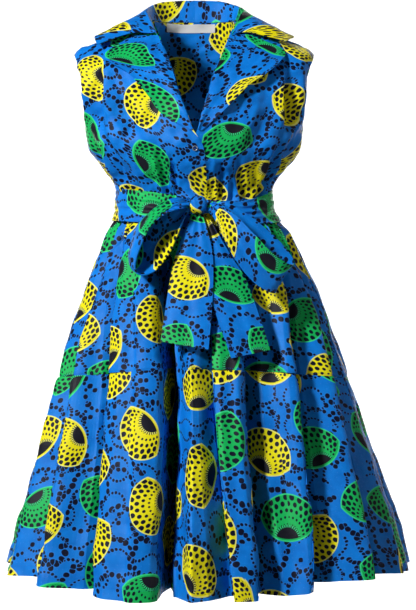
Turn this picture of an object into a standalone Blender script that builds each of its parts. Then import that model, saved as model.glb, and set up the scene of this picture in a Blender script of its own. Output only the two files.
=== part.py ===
"""A sleeveless wax print dress, hollow and in its worn form.

Metres, +Z up. The front faces -Y, and +X is at the viewer's right. The origin lies between the two
neck points of the shoulder seams, where the wearer's shoulders hold the dress up. Each piece that a
maker would cut is one object: a grid laid on the dress's surface, then given its cloth's thickness
inwards. Angles round the body start at the centre front and grow towards +X.
"""

import math
from collections import namedtuple

import bmesh
import bpy
from mathutils import Vector
from mathutils.bvhtree import BVHTree

# Cloth, in metres
CLOTH = 0.0015
SASH_CLOTH = 0.0022
TAPE = 0.0010
SEAM_GAP = 0.0003

# Heights of the seams
WAIST = -0.352
TIER_SEAM = -0.667
TIER_SEAM_FRONT_RISE = 0.022
HEM = -1.036

# Neck and shoulder
NECK_HALF = 0.078
NECK_DEPTH = 0.078
NECK_POINT_HEIGHT = 0.008
BACK_NECK_HEIGHT = 0.018
NECK_SQUARENESS = 2.6
SHOULDER_HALF = 0.229
SHOULDER_TIP_HEIGHT = -0.0475
# The share of a bodice panel's height below its shoulder part
CHEST = 0.70
# How square the torso's sections are: 1 is an ellipse
TORSO_ROUNDNESS = 0.86

# The lapped front edge lies over the other front
LAP_LIFT = 0.0026
LAP_FROM = 0.012
LAP_TO = 0.070

# Bodice sections from the waist to the chest. Widths and depths are from the middle of the body,
# armhole is how far the armhole's edge lies from the side seam's plane, and the two edges are where
# the fronts end at the middle, each towards its own side.
BodiceRow = namedtuple(
    "BodiceRow",
    "height half_width front_depth back_depth front_armhole back_armhole edge_right edge_left",
)
BODICE_ROWS = (
    BodiceRow(WAIST, 0.1465, 0.108, 0.098, 0.000, 0.000, -0.016, -0.0240),
    BodiceRow(-0.322, 0.1465, 0.109, 0.099, 0.000, 0.000, -0.016, -0.0238),
    BodiceRow(-0.300, 0.1550, 0.117, 0.106, 0.000, 0.000, -0.016, -0.0230),
    BodiceRow(-0.275, 0.1740, 0.131, 0.116, 0.000, 0.000, -0.015, -0.0215),
    BodiceRow(-0.243, 0.1985, 0.140, 0.122, 0.000, 0.000, -0.010, -0.0165),
    BodiceRow(-0.215, 0.2060, 0.141, 0.122, 0.000, 0.000, 0.0060, 0.0000),
    BodiceRow(-0.190, 0.2080, 0.137, 0.121, 0.000, 0.000, 0.0120, 0.0090),
    BodiceRow(-0.150, 0.2095, 0.126, 0.119, 0.038, 0.028, 0.0230, 0.0240),
    BodiceRow(-0.100, 0.2150, 0.104, 0.112, 0.050, 0.044, 0.0370, 0.0370),
)

# Soft gathers that rise from the waist: the angle round the body, how deep they press in there, their
# half width in degrees, and the share of the bodice's height that they reach.
Gather = namedtuple("Gather", "angle depth half_width reach")
FRONT_GATHERS = (
    Gather(16, 0.0060, 6.0, 0.42),
    Gather(29, 0.0085, 6.5, 0.48),
    Gather(44, 0.0070, 6.0, 0.36),
    Gather(58, 0.0100, 7.0, 0.58),
    Gather(74, 0.0110, 7.0, 0.66),
)
BACK_GATHERS = (
    Gather(-72, 0.0100, 7.0, 0.55),
    Gather(-52, 0.0080, 7.0, 0.42),
    Gather(-33, 0.0070, 6.5, 0.36),
    Gather(-12, 0.0060, 6.0, 0.30),
    Gather(11, 0.0065, 6.0, 0.34),
    Gather(34, 0.0070, 6.5, 0.38),
    Gather(54, 0.0085, 7.0, 0.44),
    Gather(73, 0.0100, 7.0, 0.52),
)

# Skirt sections: half sizes to each side, to the front and to the back, at the pleats' outer edges.
SkirtRow = namedtuple("SkirtRow", "height left right front back")
SKIRT_ROWS = (
    SkirtRow(WAIST, 0.1465, 0.1465, 0.108, 0.098),
    SkirtRow(-0.372, 0.1500, 0.1520, 0.115, 0.106),
    SkirtRow(-0.396, 0.1690, 0.1800, 0.131, 0.122),
    SkirtRow(-0.450, 0.1980, 0.2180, 0.158, 0.152),
    SkirtRow(-0.530, 0.2300, 0.2600, 0.195, 0.190),
    SkirtRow(-0.600, 0.2560, 0.2830, 0.222, 0.216),
    SkirtRow(-0.667, 0.2740, 0.3080, 0.247, 0.240),
    SkirtRow(-0.740, 0.2950, 0.3320, 0.271, 0.263),
    SkirtRow(-0.840, 0.3210, 0.3670, 0.302, 0.294),
    SkirtRow(-0.940, 0.3440, 0.4000, 0.330, 0.322),
    SkirtRow(-1.045, 0.3700, 0.4240, 0.354, 0.346),
)

# The pleats' valleys: their angles at the waist, the tiers' seam and the hem, how deep they are at
# those heights, their half width there in degrees, and how far the valley's bottom leans under the
# neighbouring ridge, in half widths.
Fold = namedtuple(
    "Fold",
    "waist seam hem waist_depth seam_depth hem_depth waist_width seam_width hem_width lean",
)
SKIRT_FOLDS = (
    Fold(-82.0, -78.0, -74.0, 0.006, 0.018, 0.036, 8.0, 7.5, 7.0, 0.20),
    Fold(-68.0, -60.0, -51.0, 0.004, 0.022, 0.046, 7.0, 7.0, 8.0, 0.35),
    Fold(-56.0, -37.6, -30.6, 0.012, 0.036, 0.054, 8.5, 7.5, 7.0, -0.40),
    Fold(-40.0, -24.0, -20.0, 0.007, 0.010, 0.012, 6.0, 5.5, 5.0, 0.00),
    Fold(-24.5, -11.9, -10.6, 0.013, 0.050, 0.064, 8.0, 6.5, 6.5, -0.45),
    Fold(4.0, 3.6, 0.3, 0.008, 0.022, 0.046, 6.5, 6.0, 6.0, 0.30),
    Fold(17.0, 10.0, 7.5, 0.004, 0.010, 0.014, 4.5, 3.5, 3.5, 0.00),
    Fold(31.5, 18.5, 14.5, 0.013, 0.040, 0.048, 7.5, 5.5, 5.5, 0.35),
    Fold(42.0, 28.0, 21.5, 0.006, 0.010, 0.012, 5.0, 5.0, 4.5, 0.00),
    Fold(56.0, 40.3, 30.2, 0.012, 0.036, 0.058, 7.5, 7.0, 6.5, 0.45),
    Fold(72.0, 62.0, 50.9, 0.008, 0.030, 0.048, 7.5, 8.0, 8.0, 0.35),
    Fold(84.0, 77.0, 70.0, 0.006, 0.018, 0.036, 6.5, 7.0, 7.5, -0.20),
    Fold(99.0, 95.0, 92.0, 0.010, 0.030, 0.048, 8.0, 7.5, 7.5, 0.30),
    Fold(118.0, 114.0, 111.0, 0.010, 0.034, 0.054, 8.0, 7.5, 7.0, -0.35),
    Fold(136.0, 133.0, 131.0, 0.010, 0.032, 0.050, 8.0, 7.5, 7.0, 0.30),
    Fold(153.0, 151.0, 149.5, 0.009, 0.034, 0.056, 7.5, 7.0, 6.5, -0.30),
    Fold(170.0, 169.0, 168.0, 0.009, 0.030, 0.048, 7.0, 6.5, 6.5, 0.25),
    Fold(187.0, 187.5, 188.5, 0.009, 0.034, 0.054, 7.0, 7.0, 6.5, -0.30),
    Fold(205.0, 207.0, 209.0, 0.010, 0.032, 0.050, 7.5, 7.0, 7.0, 0.35),
    Fold(223.0, 226.0, 228.5, 0.010, 0.034, 0.056, 8.0, 7.5, 7.0, -0.30),
    Fold(243.0, 246.0, 249.0, 0.010, 0.030, 0.048, 8.0, 8.0, 7.5, 0.30),
    Fold(262.0, 264.0, 267.0, 0.009, 0.028, 0.044, 7.0, 7.0, 7.0, -0.25),
)

# How much higher than HEM the hem hangs, round the body
HemPoint = namedtuple("HemPoint", "angle rise")
HEM_RISE = (
    HemPoint(-90, 0.004),
    HemPoint(-62, 0.018),
    HemPoint(-45, 0.012),
    HemPoint(-30, 0.006),
    HemPoint(-15, 0.000),
    HemPoint(10, 0.002),
    HemPoint(27, 0.003),
    HemPoint(40, 0.020),
    HemPoint(60, 0.022),
    HemPoint(90, 0.006),
    HemPoint(135, 0.010),
    HemPoint(180, 0.004),
    HemPoint(225, 0.010),
    HemPoint(270, 0.004),
)

# The belt's two edges, by the angle round the body, and its soft crosswise creases
BeltPoint = namedtuple("BeltPoint", "angle top bottom")
BELT_EDGES = (
    BeltPoint(-180, -0.316, -0.372),
    BeltPoint(-90, -0.312, -0.371),
    BeltPoint(-45, -0.320, -0.378),
    BeltPoint(-12, -0.331, -0.380),
    BeltPoint(10, -0.339, -0.377),
    BeltPoint(32, -0.340, -0.381),
    BeltPoint(52, -0.333, -0.380),
    BeltPoint(90, -0.314, -0.372),
    BeltPoint(180, -0.316, -0.372),
)
BELT_CLEARANCE = 0.0056
BELT_CREASE = 0.0022
BELT_CREASES = 3

# The collar at each side, from the centre back to its front end: the neck seam, the fold at the top
# of its stand, the middle of its fall and its outer edge, each as x, y and z.
CollarRow = namedtuple("CollarRow", "along seam fold middle edge")
COLLAR_ROWS = (
    CollarRow(0.00, (0.0, 0.0785, 0.0190), (0.0, 0.0835, 0.0585), (0.0, 0.0960, 0.0350), (0.0, 0.0985, 0.0030)),
    CollarRow(0.25, (0.045, 0.0730, 0.0185), (0.049, 0.0790, 0.0560), (0.057, 0.0910, 0.0330), (0.062, 0.0940, 0.0020)),
    CollarRow(0.45, (0.070, 0.0480, 0.0160), (0.078, 0.0550, 0.0460), (0.098, 0.0660, 0.0230), (0.114, 0.0750, -0.0080)),
    CollarRow(0.62, (0.079, 0.0140, 0.0128), (0.0895, 0.019, 0.0325), (0.129, 0.0290, 0.0130), (0.160, 0.0380, -0.0140)),
    CollarRow(0.76, (0.0790, -0.009, 0.0050), (0.087, -0.006, 0.0180), (0.137, -0.0040, 0.0050), (0.183, 0.0060, -0.0175)),
    CollarRow(0.88, (0.0735, -0.027, -0.0110), (0.079, -0.025, -0.002), (0.132, -0.0300, -0.007), (0.188, -0.0240, -0.0270)),
)
COLLAR_END_LEFT = CollarRow(
    1.0, (0.0695, -0.0355, -0.0235), (0.0720, -0.0365, -0.0205), (0.1220, -0.0375, -0.0222), (0.1815, -0.0545, -0.0462)
)
COLLAR_END_RIGHT = CollarRow(
    1.0, (0.0695, -0.0355, -0.0235), (0.0720, -0.0365, -0.0205), (0.1080, -0.0375, -0.0210), (0.1700, -0.0540, -0.0390)
)
COLLAR_FOLD_RADIUS = 0.0030

# The lapels: rows from the foot of the neck opening up to the collar, each giving the roll line and
# the outer edge as seen from the front. The last two rows are the tip and the top edge's inner end.
LapelRow = namedtuple("LapelRow", "along roll_x roll_z outer_x outer_z")
LAPEL_LEFT_ROWS = (
    LapelRow(0.00, 0.0010, -0.2130, 0.0080, -0.2145),
    LapelRow(0.20, 0.0150, -0.1760, 0.0580, -0.1850),
    LapelRow(0.40, 0.0275, -0.1440, 0.0870, -0.1450),
    LapelRow(0.58, 0.0360, -0.1120, 0.1200, -0.1060),
    LapelRow(0.74, 0.0455, -0.0830, 0.1540, -0.0830),
    LapelRow(0.88, 0.0560, -0.0560, 0.1700, -0.0680),
    LapelRow(1.00, 0.0680, -0.0243, 0.1180, -0.0236),
)
LAPEL_RIGHT_ROWS = (
    LapelRow(0.00, 0.0070, -0.2140, 0.0140, -0.2160),
    LapelRow(0.20, 0.0170, -0.1760, 0.0570, -0.1760),
    LapelRow(0.40, 0.0260, -0.1460, 0.1000, -0.1310),
    LapelRow(0.58, 0.0350, -0.1120, 0.1360, -0.1050),
    LapelRow(0.74, 0.0455, -0.0830, 0.1590, -0.0820),
    LapelRow(0.88, 0.0560, -0.0560, 0.1660, -0.0560),
    LapelRow(1.00, 0.0680, -0.0243, 0.1040, -0.0228),
)
LAPEL_CLEARANCE = 0.0026
LAPEL_ROLL = 0.0030
LAPEL_EDGE_LIFT = 0.0040
LAPEL_SIDE_SEARCH = 0.0030

# Sash: the knot, and each loop as its ribbon's two edges from the knot out and back
KNOT_CENTRE = (0.0080, -0.1323, -0.3505)
KNOT_RADII = (0.0165, 0.0172, 0.0172)
KNOT_SQUARENESS = 0.72
KNOT_GROOVES = 5
KNOT_GROOVE_DEPTH = 0.06
LoopRow = namedtuple("LoopRow", "near far")
LOOP_LEFT_ROWS = (
    LoopRow((-0.0100, -0.142, -0.346), (-0.0100, -0.126, -0.342)),
    LoopRow((-0.030, -0.172, -0.353), (-0.036, -0.134, -0.338)),
    LoopRow((-0.056, -0.191, -0.369), (-0.070, -0.138, -0.353)),
    LoopRow((-0.083, -0.203, -0.402), (-0.101, -0.142, -0.384)),
    LoopRow((-0.099, -0.207, -0.440), (-0.115, -0.148, -0.417)),
    LoopRow((-0.104, -0.204, -0.470), (-0.118, -0.156, -0.450)),
    LoopRow((-0.090, -0.199, -0.480), (-0.112, -0.158, -0.456)),
    LoopRow((-0.066, -0.192, -0.471), (-0.102, -0.148, -0.428)),
    LoopRow((-0.046, -0.181, -0.446), (-0.083, -0.140, -0.395)),
    LoopRow((-0.028, -0.164, -0.408), (-0.052, -0.134, -0.368)),
    LoopRow((-0.0100, -0.142, -0.361), (-0.0105, -0.130, -0.354)),
)
LOOP_RIGHT_ROWS = (
    LoopRow((0.0270, -0.142, -0.360), (0.0275, -0.148, -0.345)),
    LoopRow((0.041, -0.172, -0.384), (0.049, -0.168, -0.354)),
    LoopRow((0.056, -0.192, -0.416), (0.077, -0.182, -0.374)),
    LoopRow((0.078, -0.204, -0.456), (0.108, -0.190, -0.406)),
    LoopRow((0.106, -0.206, -0.490), (0.141, -0.190, -0.440)),
    LoopRow((0.136, -0.198, -0.509), (0.168, -0.180, -0.458)),
    LoopRow((0.148, -0.182, -0.508), (0.181, -0.160, -0.458)),
    LoopRow((0.136, -0.174, -0.486), (0.170, -0.146, -0.436)),
    LoopRow((0.104, -0.172, -0.450), (0.136, -0.140, -0.400)),
    LoopRow((0.068, -0.164, -0.408), (0.096, -0.136, -0.369)),
    LoopRow((0.041, -0.150, -0.376), (0.056, -0.132, -0.346)),
    LoopRow((0.0270, -0.128, -0.362), (0.0280, -0.127, -0.346)),
)
LOOP_CROWN = 0.0040

# The sash's two ends, from the knot down: the edges at each height, how far the end stands off the
# skirt's outer form, and how much lower the right edge lies than the left one.
TailRow = namedtuple("TailRow", "height left right off slant")
TAIL_LEFT_ROWS = (
    TailRow(-0.3675, -0.0050, 0.0150, 0.0205, 0.000),
    TailRow(-0.396, -0.0165, 0.0240, 0.0160, 0.000),
    TailRow(-0.429, -0.0285, 0.0325, 0.0105, 0.000),
    TailRow(-0.455, -0.0360, 0.0350, 0.0085, 0.000),
    TailRow(-0.497, -0.0440, 0.0348, 0.0080, 0.000),
    TailRow(-0.545, -0.0510, 0.0320, 0.0070, 0.004),
    TailRow(-0.596, -0.0580, 0.0265, 0.0060, 0.014),
)
TAIL_RIGHT_ROWS = (
    TailRow(-0.3674, 0.0060, 0.0250, 0.0125, 0.000),
    TailRow(-0.400, 0.0080, 0.0430, 0.0060, 0.000),
    TailRow(-0.440, 0.0120, 0.0660, 0.0040, 0.000),
    TailRow(-0.480, 0.0200, 0.0910, 0.0030, 0.000),
    TailRow(-0.513, 0.0290, 0.1040, 0.0028, 0.000),
    TailRow(-0.560, 0.0440, 0.1190, 0.0028, -0.004),
    TailRow(-0.625, 0.0670, 0.1360, 0.0028, -0.014),
)
TAIL_RIPPLE = 0.0016

# Button and label
BUTTON_X = 0.0022
BUTTON_Z = -0.2478
BUTTON_RADIUS = 0.0050
BUTTON_THICKNESS = 0.0026
BUTTON_DISH_RADIUS = 0.0034
BUTTON_DISH = 0.0008
BUTTON_SIDES = 20
LABEL_LEFT = -0.0542
LABEL_RIGHT = 0.0393
LABEL_TOP = 0.0110
LABEL_BOTTOM = -0.0045

# How many cells each grid has, along and up
FRONT_CELLS = (14, 12)
BACK_CELLS = (27, 12)
UPPER_TIER_CELLS = (74, 5)
LOWER_TIER_CELLS = (74, 3)
BELT_CELLS = (26, 5)
COLLAR_CELLS = (26, 8)
LAPEL_CELLS = (6, 9)
LOOP_CELLS = (20, 3)
TAIL_CELLS = (6, 9)
LABEL_CELLS = (6, 1)
KNOT_CELLS = (14, 8)
# The share of a grid over which a slope is taken
SLOPE_STEP = 0.004
# The upper tier's rows lie closer together under the belt
UPPER_TIER_CROWDING = 1.6

BLUE = (0.012, 0.160, 0.800, 1.0)
YELLOW = (0.860, 0.780, 0.020, 1.0)
GREEN = (0.010, 0.500, 0.130, 1.0)
WHITE = (0.750, 0.760, 0.780, 1.0)
DARK = (0.015, 0.020, 0.045, 1.0)
COTTON_ROUGHNESS = 0.75
BUTTON_ROUGHNESS = 0.25

LEFT, RIGHT = -1, 1


def clamp(value, low=0.0, high=1.0):
    return max(low, min(high, value))


def mix(a, b, share):
    return a + (b - a) * share


def smooth(value):
    """0 to 1 with a level start and end."""
    value = clamp(value)
    return value * value * (3.0 - 2.0 * value)


def spline(knots, values, at):
    """A smooth curve through the values at rising knots. A value is a number or a Vector."""
    last = len(knots) - 1
    if at <= knots[0]:
        return values[0]
    if at >= knots[last]:
        return values[last]
    i = max(n for n in range(last) if knots[n] <= at)
    span = knots[i + 1] - knots[i]
    share = (at - knots[i]) / span

    def slope(n):
        before, after = max(n - 1, 0), min(n + 1, last)
        return (values[after] - values[before]) / (knots[after] - knots[before])

    start, end = slope(i) * span, slope(i + 1) * span
    square, cube = share**2, share**3
    return (
        values[i] * (2 * cube - 3 * square + 1)
        + start * (cube - 2 * square + share)
        + values[i + 1] * (3 * square - 2 * cube)
        + end * (cube - square)
    )


def column(table, knot, name, at):
    """One named column of a table, read smoothly at a value of its knot column."""
    rows = sorted(table, key=lambda row: getattr(row, knot))
    return spline([getattr(r, knot) for r in rows], [getattr(r, name) for r in rows], at)


def even_rows(table):
    return [n / (len(table) - 1) for n in range(len(table))]


def row_value(table, name, share):
    """One column of a table whose rows are spread evenly from 0 to 1."""
    return spline(even_rows(table), [getattr(row, name) for row in table], share)


def row_point(table, name, share):
    return spline(even_rows(table), [Vector(getattr(row, name)) for row in table], share)


def valley(offset):
    """A rounded valley of depth 1 between -1 and 1."""
    return math.cos(math.pi * offset / 2.0) ** 2 if abs(offset) < 1.0 else 0.0


def gathers(table, degrees, share):
    """How far the waist's gathers press the bodice in at an angle and height share."""
    total = 0.0
    for gather in table:
        fade = clamp(1.0 - share / gather.reach) ** 1.5
        total += gather.depth * fade * valley((degrees - gather.angle) / gather.half_width)
    return total


def shoulder_point(side, share):
    """The shoulder seam from the neck point, at share 0, to the shoulder's tip."""
    x = mix(NECK_HALF, SHOULDER_HALF, share)
    return Vector((side * x, 0.0, mix(NECK_POINT_HEIGHT, SHOULDER_TIP_HEIGHT, share)))


def front_point(side, across, up):
    """A point of a bodice front, from its middle edge to its side, and from the waist to the shoulder."""
    level = clamp(up / CHEST)
    edge_name = "edge_right" if side == RIGHT else "edge_left"
    edge = row_value(BODICE_ROWS, edge_name, level)
    half_width = row_value(BODICE_ROWS, "half_width", level)
    depth = row_value(BODICE_ROWS, "front_depth", level)
    armhole = row_value(BODICE_ROWS, "front_armhole", level)
    start = math.asin(edge / half_width)
    angle = mix(start, math.pi / 2, across)
    pressed = gathers(FRONT_GATHERS, math.degrees(angle), up)
    forward = armhole + section_depth(depth - armhole, max(math.cos(angle), 0.0))
    x = half_width * math.sin(angle) - pressed * math.sin(angle)
    y = -forward + pressed * math.cos(angle)
    if side == LEFT:
        y -= LAP_LIFT * (1.0 - smooth((x - LAP_FROM) / (LAP_TO - LAP_FROM)))
    point = Vector((side * x, y, row_value(BODICE_ROWS, "height", level)))
    if up > CHEST:
        share = (up - CHEST) / (1.0 - CHEST)
        top = shoulder_point(side, across)
        back = mix(share, 1.0 - math.cos(math.pi * share / 2), across)
        rise = mix(share, math.sin(math.pi * share / 2), across)
        point = Vector((mix(point.x, top.x, share), mix(point.y, top.y, back), mix(point.z, top.z, rise)))
    point.y -= SEAM_GAP / 2
    return point


def back_top(across):
    """The bodice back's top edge from tip to tip: shoulder seam, back neck, shoulder seam."""
    third = 1.0 / 3.0
    if across < third:
        return shoulder_point(LEFT, 1.0 - across / third)
    if across > 1.0 - third:
        return shoulder_point(RIGHT, (across - 1.0 + third) / third)
    turn = mix(-math.pi / 2, math.pi / 2, (across - third) / third)
    x = math.copysign(abs(math.sin(turn)) ** (2 / NECK_SQUARENESS), turn)
    y = max(math.cos(turn), 0.0) ** (2 / NECK_SQUARENESS)
    height = mix(NECK_POINT_HEIGHT, BACK_NECK_HEIGHT, y)
    return Vector((NECK_HALF * x, NECK_DEPTH * y, height))


def back_point(across, up):
    """A point of the bodice back, from the viewer's left side to the right one, waist to top edge."""
    level = clamp(up / CHEST)
    half_width = row_value(BODICE_ROWS, "half_width", level)
    depth = row_value(BODICE_ROWS, "back_depth", level)
    armhole = row_value(BODICE_ROWS, "back_armhole", level)
    angle = mix(-math.pi / 2, math.pi / 2, across)
    pressed = gathers(BACK_GATHERS, math.degrees(angle), up)
    backward = armhole + section_depth(depth - armhole, max(math.cos(angle), 0.0))
    x = (half_width - pressed) * math.sin(angle)
    y = backward - pressed * math.cos(angle)
    point = Vector((x, y, row_value(BODICE_ROWS, "height", level)))
    if up > CHEST:
        share = (up - CHEST) / (1.0 - CHEST)
        top = back_top(across)
        outward = clamp(abs(across - 0.5) * 6.0 - 1.0)
        forward = mix(share, 1.0 - math.cos(math.pi * share / 2), outward)
        rise = mix(share, math.sin(math.pi * share / 2), outward)
        point = Vector((mix(point.x, top.x, share), mix(point.y, top.y, forward), mix(point.z, top.z, rise)))
    point.y += SEAM_GAP / 2
    return point


def fold_at(fold, height):
    """A pleat's angle, depth and half width in degrees at a height."""
    knots = (HEM, TIER_SEAM, WAIST)
    angle = spline(knots, (fold.hem, fold.seam, fold.waist), height)
    depth = spline(knots, (fold.hem_depth, fold.seam_depth, fold.waist_depth), height)
    width = spline(knots, (fold.hem_width, fold.seam_width, fold.waist_width), height)
    return angle, depth, width


def section_depth(depth, cosine):
    """How far a section of the body or skirt reaches forward at an angle with this cosine."""
    return math.copysign(depth * abs(cosine) ** TORSO_ROUNDNESS, cosine)


def skirt_form(degrees, height):
    """The skirt's outer form with no pleats, at an angle and a height."""
    turn = math.radians(degrees)
    sideways, forward = math.sin(turn), math.cos(turn)
    width = column(SKIRT_ROWS, "height", "right" if sideways > 0 else "left", height)
    depth = column(SKIRT_ROWS, "height", "front" if forward > 0 else "back", height)
    return Vector((width * sideways, -section_depth(depth, forward), height))


def skirt_point(degrees, height):
    """The pleated skirt: each valley presses the form in and leans to one side."""
    pressed, shift = 0.0, 0.0
    for fold in SKIRT_FOLDS:
        angle, depth, width = fold_at(fold, height)
        away = (degrees - angle + 180.0) % 360.0 - 180.0
        dip = valley(away / width)
        pressed += depth * dip
        shift += fold.lean * width * dip
    form = skirt_form(degrees + shift, height)
    inward = Vector((form.x, form.y, 0.0)).normalized()
    return form - inward * pressed


def seam_height(degrees):
    """The tiers' seam lies a little higher at the centre front."""
    return TIER_SEAM + TIER_SEAM_FRONT_RISE * max(math.cos(math.radians(degrees)), 0.0) ** 2


def hem_height(degrees):
    around = (degrees + 90.0) % 360.0 - 90.0
    return HEM + column(HEM_RISE, "angle", "rise", around)


def tier_place(first, last, top, bottom, crowding=1.0):
    """A tier's panel from angle first to last, and from its bottom line up to its top line."""

    def place(across, up):
        edge_gap = math.degrees(SEAM_GAP / 2 / SKIRT_ROWS[0].left)
        degrees = mix(first + edge_gap, last - edge_gap, across)
        down = clamp(1.0 - up) ** crowding
        return skirt_point(degrees, mix(top(degrees), bottom(degrees), down))

    return place


def belt_place(first, last):
    """Half of the belt, over the waist seam, with soft creases that run round it."""

    def place(across, up):
        edge_gap = math.degrees(SEAM_GAP / SKIRT_ROWS[0].left)
        degrees = mix(first + edge_gap, last - edge_gap, across)
        around = (degrees + 180.0) % 360.0 - 180.0
        top = column(BELT_EDGES, "angle", "top", around)
        bottom = column(BELT_EDGES, "angle", "bottom", around)
        height = mix(bottom, top, up)
        turn = math.radians(degrees)
        if height < WAIST:
            form = skirt_form(degrees, height)
        else:
            level = bodice_level(height)
            width = row_value(BODICE_ROWS, "half_width", level)
            depth = row_value(BODICE_ROWS, "back_depth" if abs(around) > 90.0 else "front_depth", level)
            form = Vector((width * math.sin(turn), -section_depth(depth, math.cos(turn)), height))
        waves = math.sin(math.pi * (BELT_CREASES * up + 0.5 * math.sin(2.0 * turn)))
        outward = Vector((math.sin(turn), -math.cos(turn), 0.0))
        return form + outward * (BELT_CLEARANCE + BELT_CREASE * waves**2)

    return place


def bodice_level(height):
    """The share of the bodice table at a height, found by halving."""
    low, high = 0.0, 1.0
    for _ in range(24):
        middle = (low + high) / 2
        if row_value(BODICE_ROWS, "height", middle) < height:
            low = middle
        else:
            high = middle
    return (low + high) / 2


def collar_place(across, up):
    """The collar from the viewer's left end round the back: its stand, the fold, then its fall."""
    side = LEFT if across < 0.5 else RIGHT
    end = COLLAR_END_LEFT if side == LEFT else COLLAR_END_RIGHT
    rows = COLLAR_ROWS + (end,)
    along = abs(across - 0.5) * 2.0
    knots = [row.along for row in rows]
    seam, fold, middle, edge = (
        spline(knots, [Vector(getattr(row, name)) for row in rows], along)
        for name in ("seam", "fold", "middle", "edge")
    )
    outward = (middle - seam).normalized() * COLLAR_FOLD_RADIUS
    lift = Vector((0.0, 0.0, COLLAR_FOLD_RADIUS))
    line = (seam, mix(seam, fold, 0.55), fold, fold + outward + lift * 0.6, fold + outward * 2.4, middle, edge)
    line_knots = (0.0, 0.14, 0.26, 0.36, 0.46, 0.74, 1.0)
    point = spline(line_knots, line, up)
    return Vector((side * point.x, point.y, point.z))


def surface_tree(obj):
    """The finished surface of an object, to lay other pieces on."""
    bpy.context.view_layer.update()
    graph = bpy.context.evaluated_depsgraph_get()
    return BVHTree.FromObject(obj, graph)


def on_front(tree, x, z):
    """The outer point at a place seen from the front, and the way out there."""
    hit, normal, _, _ = tree.ray_cast(Vector((x, -1.0, z)), Vector((0.0, 1.0, 0.0)))
    if hit is None:
        hit, normal, _, _ = tree.find_nearest(Vector((x, -0.12, z)))
    if normal.y > 0.0:
        normal = -normal
    return hit, normal


def lapel_place(side, rows, tree):
    """A lapel lies on its front, rolls over at the roll line and lifts a little at its outer edge."""

    def place(across, up):
        roll = Vector((row_value_at(rows, "roll_x", up), 0.0, row_value_at(rows, "roll_z", up)))
        outer = Vector((row_value_at(rows, "outer_x", up), 0.0, row_value_at(rows, "outer_z", up)))
        flat = mix(roll, outer, across)
        inner = LAPEL_SIDE_SEARCH * (1.0 - across)
        hit, _ = on_front(tree, side * (flat.x + inner), flat.z)
        lift = LAPEL_CLEARANCE + LAPEL_ROLL * (1.0 - up**3) * valley((across - 0.12) / 0.30)
        lift += LAPEL_EDGE_LIFT * across**2 * up
        return Vector((side * flat.x, hit.y - lift, flat.z))

    return place


def row_value_at(rows, name, along):
    return spline([row.along for row in rows], [getattr(row, name) for row in rows], along)


def loop_place(rows):
    """A loop's ribbon between its two edges, crowned a little across its width."""

    def place(along, across):
        near = row_point(rows, "near", along)
        far = row_point(rows, "far", along)
        step = 0.01
        ahead = row_point(rows, "near", min(along + step, 1.0)) - row_point(rows, "near", max(along - step, 0.0))
        out = (far - near).cross(ahead).normalized()
        return mix(near, far, across) + out * LOOP_CROWN * math.sin(math.pi * across)

    return place


def tail_place(rows):
    """An end of the sash, which hangs from the knot along the skirt's outer form."""

    def place(across, up):
        down = 1.0 - up
        height = row_value(rows, "height", down) - row_value(rows, "slant", down) * across
        x = mix(row_value(rows, "left", down), row_value(rows, "right", down), across)
        off = row_value(rows, "off", down)
        width = column(SKIRT_ROWS, "height", "right" if x > 0 else "left", height)
        depth = column(SKIRT_ROWS, "height", "front", height)
        form = section_depth(depth, math.sqrt(1.0 - clamp(x / width, -1.0, 1.0) ** 2))
        ripple = TAIL_RIPPLE * (1.0 - math.cos(4.0 * math.pi * across)) / 2 * clamp(down * 3.0)
        return Vector((x, -form - off - ripple, height))

    return place


def label_place(tree):
    """The label follows the inside of the back, just under the neck seam."""

    def place(across, up):
        x, z = mix(LABEL_LEFT, LABEL_RIGHT, across), mix(LABEL_BOTTOM, LABEL_TOP, up)
        hit, _, _, _ = tree.ray_cast(Vector((x, 0.0, z)), Vector((0.0, 1.0, 0.0)))
        return Vector((x, hit.y - SEAM_GAP * 2, z))

    return place


def material(name, colour, roughness):
    made = bpy.data.materials.new(name)
    made.use_nodes = True
    shader = made.node_tree.nodes["Principled BSDF"]
    shader.inputs["Base Color"].default_value = colour
    shader.inputs["Roughness"].default_value = roughness
    shader.inputs["Metallic"].default_value = 0.0
    made.diffuse_color = colour
    return made


def add_object(name, mesh_source, finish):
    """A bmesh made into a named, smooth-shaded object with its material."""
    mesh = bpy.data.meshes.new(name)
    mesh_source.to_mesh(mesh)
    mesh_source.free()
    mesh.materials.append(finish)
    mesh.shade_smooth()
    obj = bpy.data.objects.new(name, mesh)
    bpy.context.scene.collection.objects.link(obj)
    return obj


def way_out(place, across, up, joined):
    """The direction square to a surface. A joined surface runs on past its side edges."""
    reach = (across - SLOPE_STEP, across + SLOPE_STEP)
    if not joined:
        reach = tuple(clamp(value) for value in reach)
    along = place(reach[1], up) - place(reach[0], up)
    upward = place(across, clamp(up + SLOPE_STEP)) - place(across, clamp(up - SLOPE_STEP))
    return along.cross(upward).normalized()


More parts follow.
